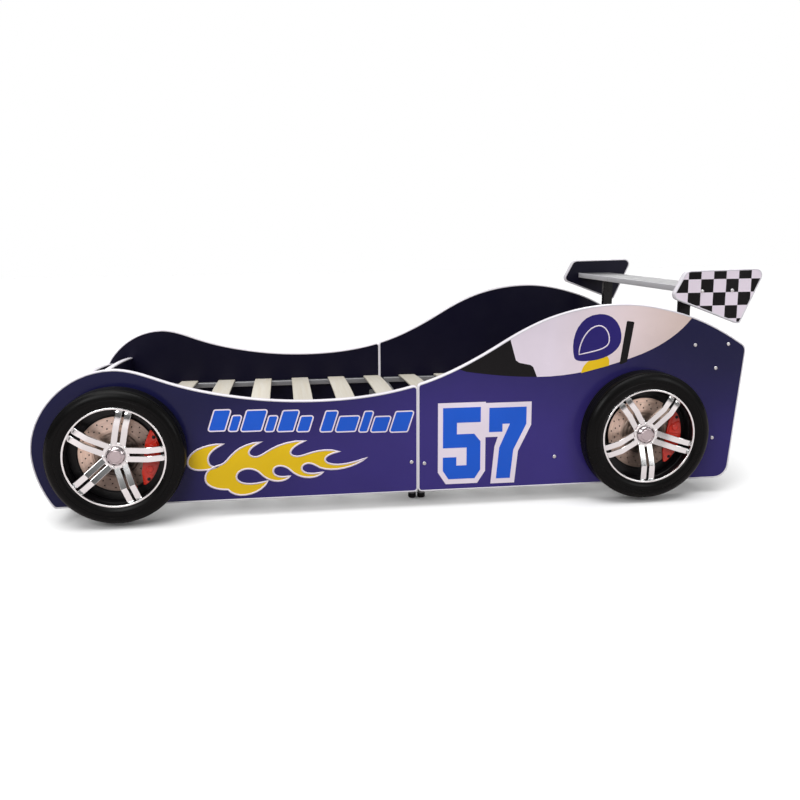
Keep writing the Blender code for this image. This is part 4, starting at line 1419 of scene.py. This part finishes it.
class BED_OT_rims(bpy.types.Operator):
    """Make the rims, their spokes, hubs, bolts and centre caps"""

    bl_idname = "bed.rims"
    bl_label = "Rims"

    def execute(self, context):
        w = wheel_looks()
        bright = chrome()
        dark = black_plastic()
        ring, front = w.ring, w.ring_front
        lip = ring - 0.0060
        edge = turned(
            "ring",
            [(lip, front - 0.0040), *arc((lip + 0.0016, front - 0.0016), (0.0016, 0.0016), 180, 90, 3),
             *arc((ring - 0.0016, front - 0.0016), (0.0016, 0.0016), 90, 0, 3), (ring, front - 0.0080),
             (ring - 0.0035, front - 0.0080)],
            w.segments,
        )
        barrel = turned(
            "barrel",
            [(ring - 0.0001, front - 0.0070), (ring - 0.0001, 0.0062), (ring - 0.0040, 0.0062),
             (ring - 0.0040, 0.0140), (ring - 0.0048, 0.0150), (ring - 0.0048, 0.0300), (ring - 0.0040, 0.0310),
             (ring - 0.0040, front - 0.0070)],
            w.segments,
        )
        hub_radius, hub = 0.0400, w.hub_front
        boss = turned(
            "boss",
            [(0.0106, hub - 0.0125), (hub_radius, hub - 0.0125), (hub_radius, hub - 0.0012),
             (hub_radius - 0.0012, hub), (0.0300, hub), (0.0292, hub - 0.0008), (0.0106, hub - 0.0008)],
            64,
        )
        offset = (w.bar_gap + w.bar_width) / 2
        pair = joined("pair", [bar_mesh(-offset), bar_mesh(offset)])
        values = {"Copy": sample("pair", pair), "Count": w.pairs, "Radius": 0.0, "Finish": bright}
        spokes = grow(ring_tree, point_mesh("nothing", [ORIGIN]), values)
        bolt = screw_mesh(0.0046)
        bolt.transform(Matrix.Translation((0.0355, 0.0, hub)))
        values = {"Copy": sample("bolt", bolt), "Count": w.pairs, "Radius": 0.0, "Finish": bright}
        bolts = grow(ring_tree, point_mesh("nothing", [ORIGIN]), values)
        bolts.transform(Matrix.Rotation(math.pi / w.pairs, 4, "Z"))
        edge.materials.append(bright)
        boss.materials.append(bright)
        barrel.materials.append(dark)
        whole = joined("rim", [edge, barrel, boss, spokes, bolts])
        cap_radius, rise = 0.0275, 0.009
        seat = hub + GAP
        cap = turned(
            "cap",
            [(cap_radius, seat), (cap_radius, seat + rise * 0.35), (cap_radius - 0.0010, seat + rise * 0.55),
             (cap_radius - 0.0062, seat + rise * 0.95), (cap_radius - 0.0070, seat + rise),
             (cap_radius - 0.0085, seat + rise), (cap_radius - 0.0090, seat + rise - 0.0006),
             (cap_radius - 0.0104, seat + rise - 0.0006), (cap_radius - 0.0110, seat + rise),
             (0.0080, seat + rise + 0.0003)],
            64, looped=False, capped=True,
        )
        for wheel, end in WHEELS:
            turn = w.front_turn if end == "front" else w.rear_turn
            spun = hub_matrix(wheel) @ Matrix.Rotation(turn, 4, "Z")
            rim = whole.copy()
            rim.transform(spun)
            place(f"rim_{wheel}_detailed", rim, f"wheel_{wheel}", "chrome", stands_for=[f"rim_{wheel}"])
            lid = cap.copy()
            lid.transform(spun)
            place(f"cap_{wheel}", lid, f"wheel_{wheel}", "chrome", cap_chrome(), [f"centre_cap_{wheel}"])
        return {"FINISHED"}


CALIPER_OUTER, CALIPER_INNER = 0.1235, 0.076  # radii
CALIPER_HALF = 42.0  # degrees each side of its middle
CALIPER_INNER_HALF = 0.047
CALIPER_TIP = 0.0065
CALIPER_TURN = -9.0  # degrees round the axle
CALIPER_FRONT = 0.0200  # off the panel


def caliper_mesh():
    """A red caliper: base, raised bridge, ribs and piston bosses."""
    front = CALIPER_FRONT

    def sweep(radius, half, count):
        return arc((0.0, 0.0), (radius, radius), -half, half, count)

    outer = sweep(CALIPER_OUTER, CALIPER_HALF, 18)
    x, y = outer[-1]
    inner = [(x - CALIPER_TIP, y), (CALIPER_INNER, CALIPER_INNER_HALF)]
    base = prism("base", [outer + inner + [(a, -b) for a, b in inner[::-1]]], 0.0152, front, 0.0014)
    line = sweep(CALIPER_OUTER - 0.0004, CALIPER_HALF - 2, 16) + sweep(0.1138, CALIPER_HALF - 2, 16)[::-1]
    bridge = prism("bridge", [line], 0.0046, 0.0160)
    line = sweep(CALIPER_OUTER - 0.0035, 26, 12)
    line += [(0.0860, 0.0400), (0.0800, 0.0300), (0.0800, -0.0300), (0.0860, -0.0400)]
    crown = prism("crown", [line], front - 0.001, front + 0.0030, 0.0012)
    parts = [base, bridge, crown]
    for y in (-0.014, 0.0, 0.014):
        corners = ((0.084, y - 0.0018), (0.1165, y - 0.0018), (0.1165, y + 0.0018), (0.084, y + 0.0018))
        rib = rounded([(*corner, 0.0012) for corner in corners], 2)
        parts.append(prism("rib", [rib], front + 0.002, front + 0.0050, 0.0006))
    profile = ((0.0100, 0.0), (0.0100, 0.0052), (0.0090, 0.0060), (0.0062, 0.0060), (0.0058, 0.0048))
    for y in (-0.032, 0.032):
        boss = turned("boss", [(r, front + z) for r, z in profile], 32, looped=False, capped=True)
        boss.transform(Matrix.Translation((0.0985, y, 0.0)))
        parts.append(boss)
    return smooth(joined("caliper", parts), 30)


# radius, and height over the disc's front face
DISC_FACE = (
    (0.0712, 0.0), (0.0700, -0.0010), (0.0660, -0.0010), (0.0640, 0.0010), (0.0625, 0.0028), (0.0560, 0.0030),
    (0.0545, 0.0020), (0.0480, 0.0020), (0.0470, 0.0030), (0.0170, 0.0030), (0.0160, 0.0022),
)
BACKPLATE_PROFILE = (
    (0.0100, 0.0345), (0.0100, 0.0040), (0.0150, 0.0033), (0.1180, 0.0033), (0.1190, 0.0050), (0.1400, 0.0050),
    (0.1410, 0.0033), (0.1470, 0.0033), (0.1470, 0.0003), (0.0100, 0.0003),
)


class BED_OT_brakes(bpy.types.Operator):
    """Make the brake discs, calipers and back plates"""

    bl_idname = "bed.brakes"
    bl_label = "Brakes"

    def execute(self, context):
        w = wheel_looks()
        front, outside = w.disc_front, w.disc
        back = front - 0.006
        ring = turned(
            "disc",
            [(outside, front - 0.0006), (outside - 0.0006, front), *((r, front + z) for r, z in DISC_FACE),
             (0.0160, 0.0036), (0.0620, 0.0036), (0.0620, back), (outside - 0.0006, back),
             (outside, back + 0.0006)],
            w.segments,
        )
        steel = disc_finish()
        values = {
            "Hole": w.hole,
            "Depth": 0.05,
            "First row": 0.0795,
            "Row step": 0.0115,
            "Count": w.holes,
            "Finish": steel,
        }
        disc = smooth(grow(drilled_tree, ring, values))
        caliper = caliper_mesh()
        red = foil("caliper red", colours().caliper, 0.24, 0.6)
        plate = turned("plate", BACKPLATE_PROFILE, w.segments, looped=False, capped=True)
        bolt = screw_mesh(0.0052)
        for wheel, _ in WHEELS:
            hub = hub_matrix(wheel)
            own = disc.copy()
            own.transform(hub)
            place(f"disc_{wheel}", own, BED, "disc_steel", steel, [f"brake_disc_{wheel}"])
            # the same turn about either side's own outward axle, as in the frame
            turn = Matrix.Rotation(math.radians(CALIPER_TURN), 4, "Z")
            grip = caliper.copy()
            grip.transform(hub @ turn)
            place(f"caliper_{wheel}_detailed", grip, BED, "caliper_red", red, [f"caliper_{wheel}"])
            ends = [(0.0985, 0.064, CALIPER_FRONT), (0.0985, -0.064, CALIPER_FRONT)]
            values = {"Copy": sample("bolt", bolt.copy()), "Finish": black_plastic()}
            heads = grow(copies_tree, point_mesh("bolts", ends), values)
            heads.transform(hub @ turn)
            place(f"caliper_bolts_{wheel}", heads, BED, "caliper_red")
            shield = plate.copy()
            shield.transform(hub)
            node = f"backplate_{wheel}"
            place(f"{node}_turned", shield, BED, "backing_black", black_plastic(), [node])
        return {"FINISHED"}


# ---------------------------------------------------------------- stage
CAMERA_PLACE = (-0.37167, -2.74763, 0.84116)
CAMERA_YAW = 6.2057  # degrees, as are the next two
CAMERA_PITCH = 9.1677
CAMERA_ROLL = -0.6432
CAMERA_LENS = 34.875
CAMERA_SHIFT = (0.0408, -0.0519)


def add_light(name, place_at, target, size, energy):
    data = bpy.data.lights.new(name, "AREA")
    data.shape = "RECTANGLE"
    data.size, data.size_y = size
    data.energy = energy
    lamp = linked(name, data)
    lamp.location = place_at
    lamp.rotation_euler = (Vector(target) - Vector(place_at)).to_track_quat("-Z", "Y").to_euler()


def floor_finish():
    """Pale to the camera, greyer where it only lights or is mirrored by the bed."""
    made, build, shader = new_material("floor")
    ray = build.add("ShaderNodeLightPath").outputs
    pale = solid(colours().floor)
    mirrored = (pale[0] * 0.72, pale[1] * 0.66, pale[2] * 0.66, 1.0)
    unseen = mixed(build, ray["Is Glossy Ray"], solid(colours().floor, 0.30), mirrored)
    effect = build.add("ShaderNodeGroup", {"Roughness": 0.8, "Dust": 0.0}, node_tree=coat_group())
    shader.inputs["Specular IOR Level"].default_value = 0.0
    build.tree.links.new(mixed(build, ray["Is Camera Ray"], unseen, pale), shader.inputs["Base Color"])
    build.tree.links.new(effect.outputs["Roughness"], shader.inputs["Roughness"])
    return made


class BED_OT_stage(bpy.types.Operator):
    """Set the floor, soft lights and camera"""

    bl_idname = "bed.stage"
    bl_label = "Stage"

    def execute(self, context):
        scene = context.scene
        form = bmesh.new()
        bmesh.ops.create_grid(form, x_segments=8, y_segments=8, size=14.0)
        ground = meshed(form, "floor")
        ground.materials.append(floor_finish())
        linked("floor", ground)
        overhead = bpy.data.lights.new("overhead", "SUN")
        overhead.energy = 2.6
        overhead.angle = math.radians(50)
        lamp = linked("overhead", overhead)
        lamp.rotation_euler = (math.radians(8), math.radians(-6), 0.0)
        add_light("key", (-2.4, -3.4, 2.6), (-0.2, 0.0, 0.2), (2.2, 1.6), 74.0)
        add_light("fill", (3.2, -3.6, 1.8), (0.3, 0.0, 0.3), (1.6, 2.2), 38.0)
        add_light("back left", (-2.6, 3.6, 2.0), (-0.2, 0.0, 0.2), (2.2, 1.6), 34.0)
        add_light("back right", (2.8, 3.4, 2.0), (0.2, 0.0, 0.3), (2.2, 1.6), 34.0)
        world = bpy.data.worlds.new("studio")
        scene.world = world
        world.use_nodes = True
        build = Tree(world.node_tree)
        backdrop = world.node_tree.nodes["Background"]
        facing = build.add("ShaderNodeTexCoord").outputs["Generated"]
        up = build.add("ShaderNodeSeparateXYZ", {0: facing}).outputs["Z"]
        room = span(build, up, 0.02, 0.60, 0.10, 0.46)
        seen = build.add("ShaderNodeLightPath").outputs["Is Camera Ray"]
        light = build.add("ShaderNodeMix", {0: seen, 2: room, 3: 1.0}, data_type="FLOAT").outputs[0]
        build.tree.links.new(light, backdrop.inputs["Color"])
        backdrop.inputs["Strength"].default_value = 1.0
        yaw, pitch, roll = (math.radians(a) for a in (CAMERA_YAW, CAMERA_PITCH, CAMERA_ROLL))
        forward = Vector((math.sin(yaw) * math.cos(pitch), math.cos(yaw) * math.cos(pitch), -math.sin(pitch)))
        right = Vector((math.cos(yaw), -math.sin(yaw), 0.0))
        up_axis = right.cross(forward)
        right, up_axis = (
            right * math.cos(roll) + up_axis * math.sin(roll),
            up_axis * math.cos(roll) - right * math.sin(roll),
        )
        lens = bpy.data.cameras.new("camera")
        lens.sensor_width = 36.0
        lens.lens = CAMERA_LENS
        lens.shift_x, lens.shift_y = CAMERA_SHIFT
        eye = linked("camera", lens)
        turn = Matrix((right, up_axis, -forward)).transposed().to_4x4()
        eye.matrix_world = Matrix.Translation(CAMERA_PLACE) @ turn
        scene.camera = eye
        scene.view_settings.view_transform = "Standard"
        return {"FINISHED"}


# ---------------------------------------------------------------- panel and registration
OPERATORS = (
    BED_OT_boards, BED_OT_edging, BED_OT_flames, BED_OT_dashes, BED_OT_number, BED_OT_cockpit, BED_OT_wing,
    BED_OT_screws, BED_OT_slats, BED_OT_steelwork, BED_OT_tyres, BED_OT_rims, BED_OT_brakes, BED_OT_stage,
)


class BED_PT_looks(bpy.types.Panel):
    """Sizes, colours and steps of the racing-car bed"""

    bl_idname = "BED_PT_looks"
    bl_label = "Racing car bed"
    bl_space_type = "VIEW_3D"
    bl_region_type = "UI"
    bl_category = "Car bed"

    def draw(self, context):
        for group in (context.scene.bed_sizes, context.scene.bed_colours, context.scene.bed_wheels):
            box = self.layout.box()
            for label in group.bl_rna.properties.keys():
                if label not in ("rna_type", "name"):
                    box.prop(group, label)
        for operator in OPERATORS:
            self.layout.operator(operator.bl_idname)


CLASSES = (BedSizes, BedColours, WheelLooks, *OPERATORS, BED_PT_looks)


def register():
    for kind in CLASSES:
        bpy.utils.register_class(kind)
    bpy.types.Scene.bed_sizes = PointerProperty(type=BedSizes)
    bpy.types.Scene.bed_colours = PointerProperty(type=BedColours)
    bpy.types.Scene.bed_wheels = PointerProperty(type=WheelLooks)


def unregister():
    for label in ("bed_sizes", "bed_colours", "bed_wheels"):
        delattr(bpy.types.Scene, label)
    for kind in reversed(CLASSES):
        bpy.utils.unregister_class(kind)


def main():
    register()
    for operator in OPERATORS:
        group, name = operator.bl_idname.split(".")
        getattr(getattr(bpy.ops, group), name)()
    bpy.context.view_layer.update()


if __name__ == "__main__":
    main()
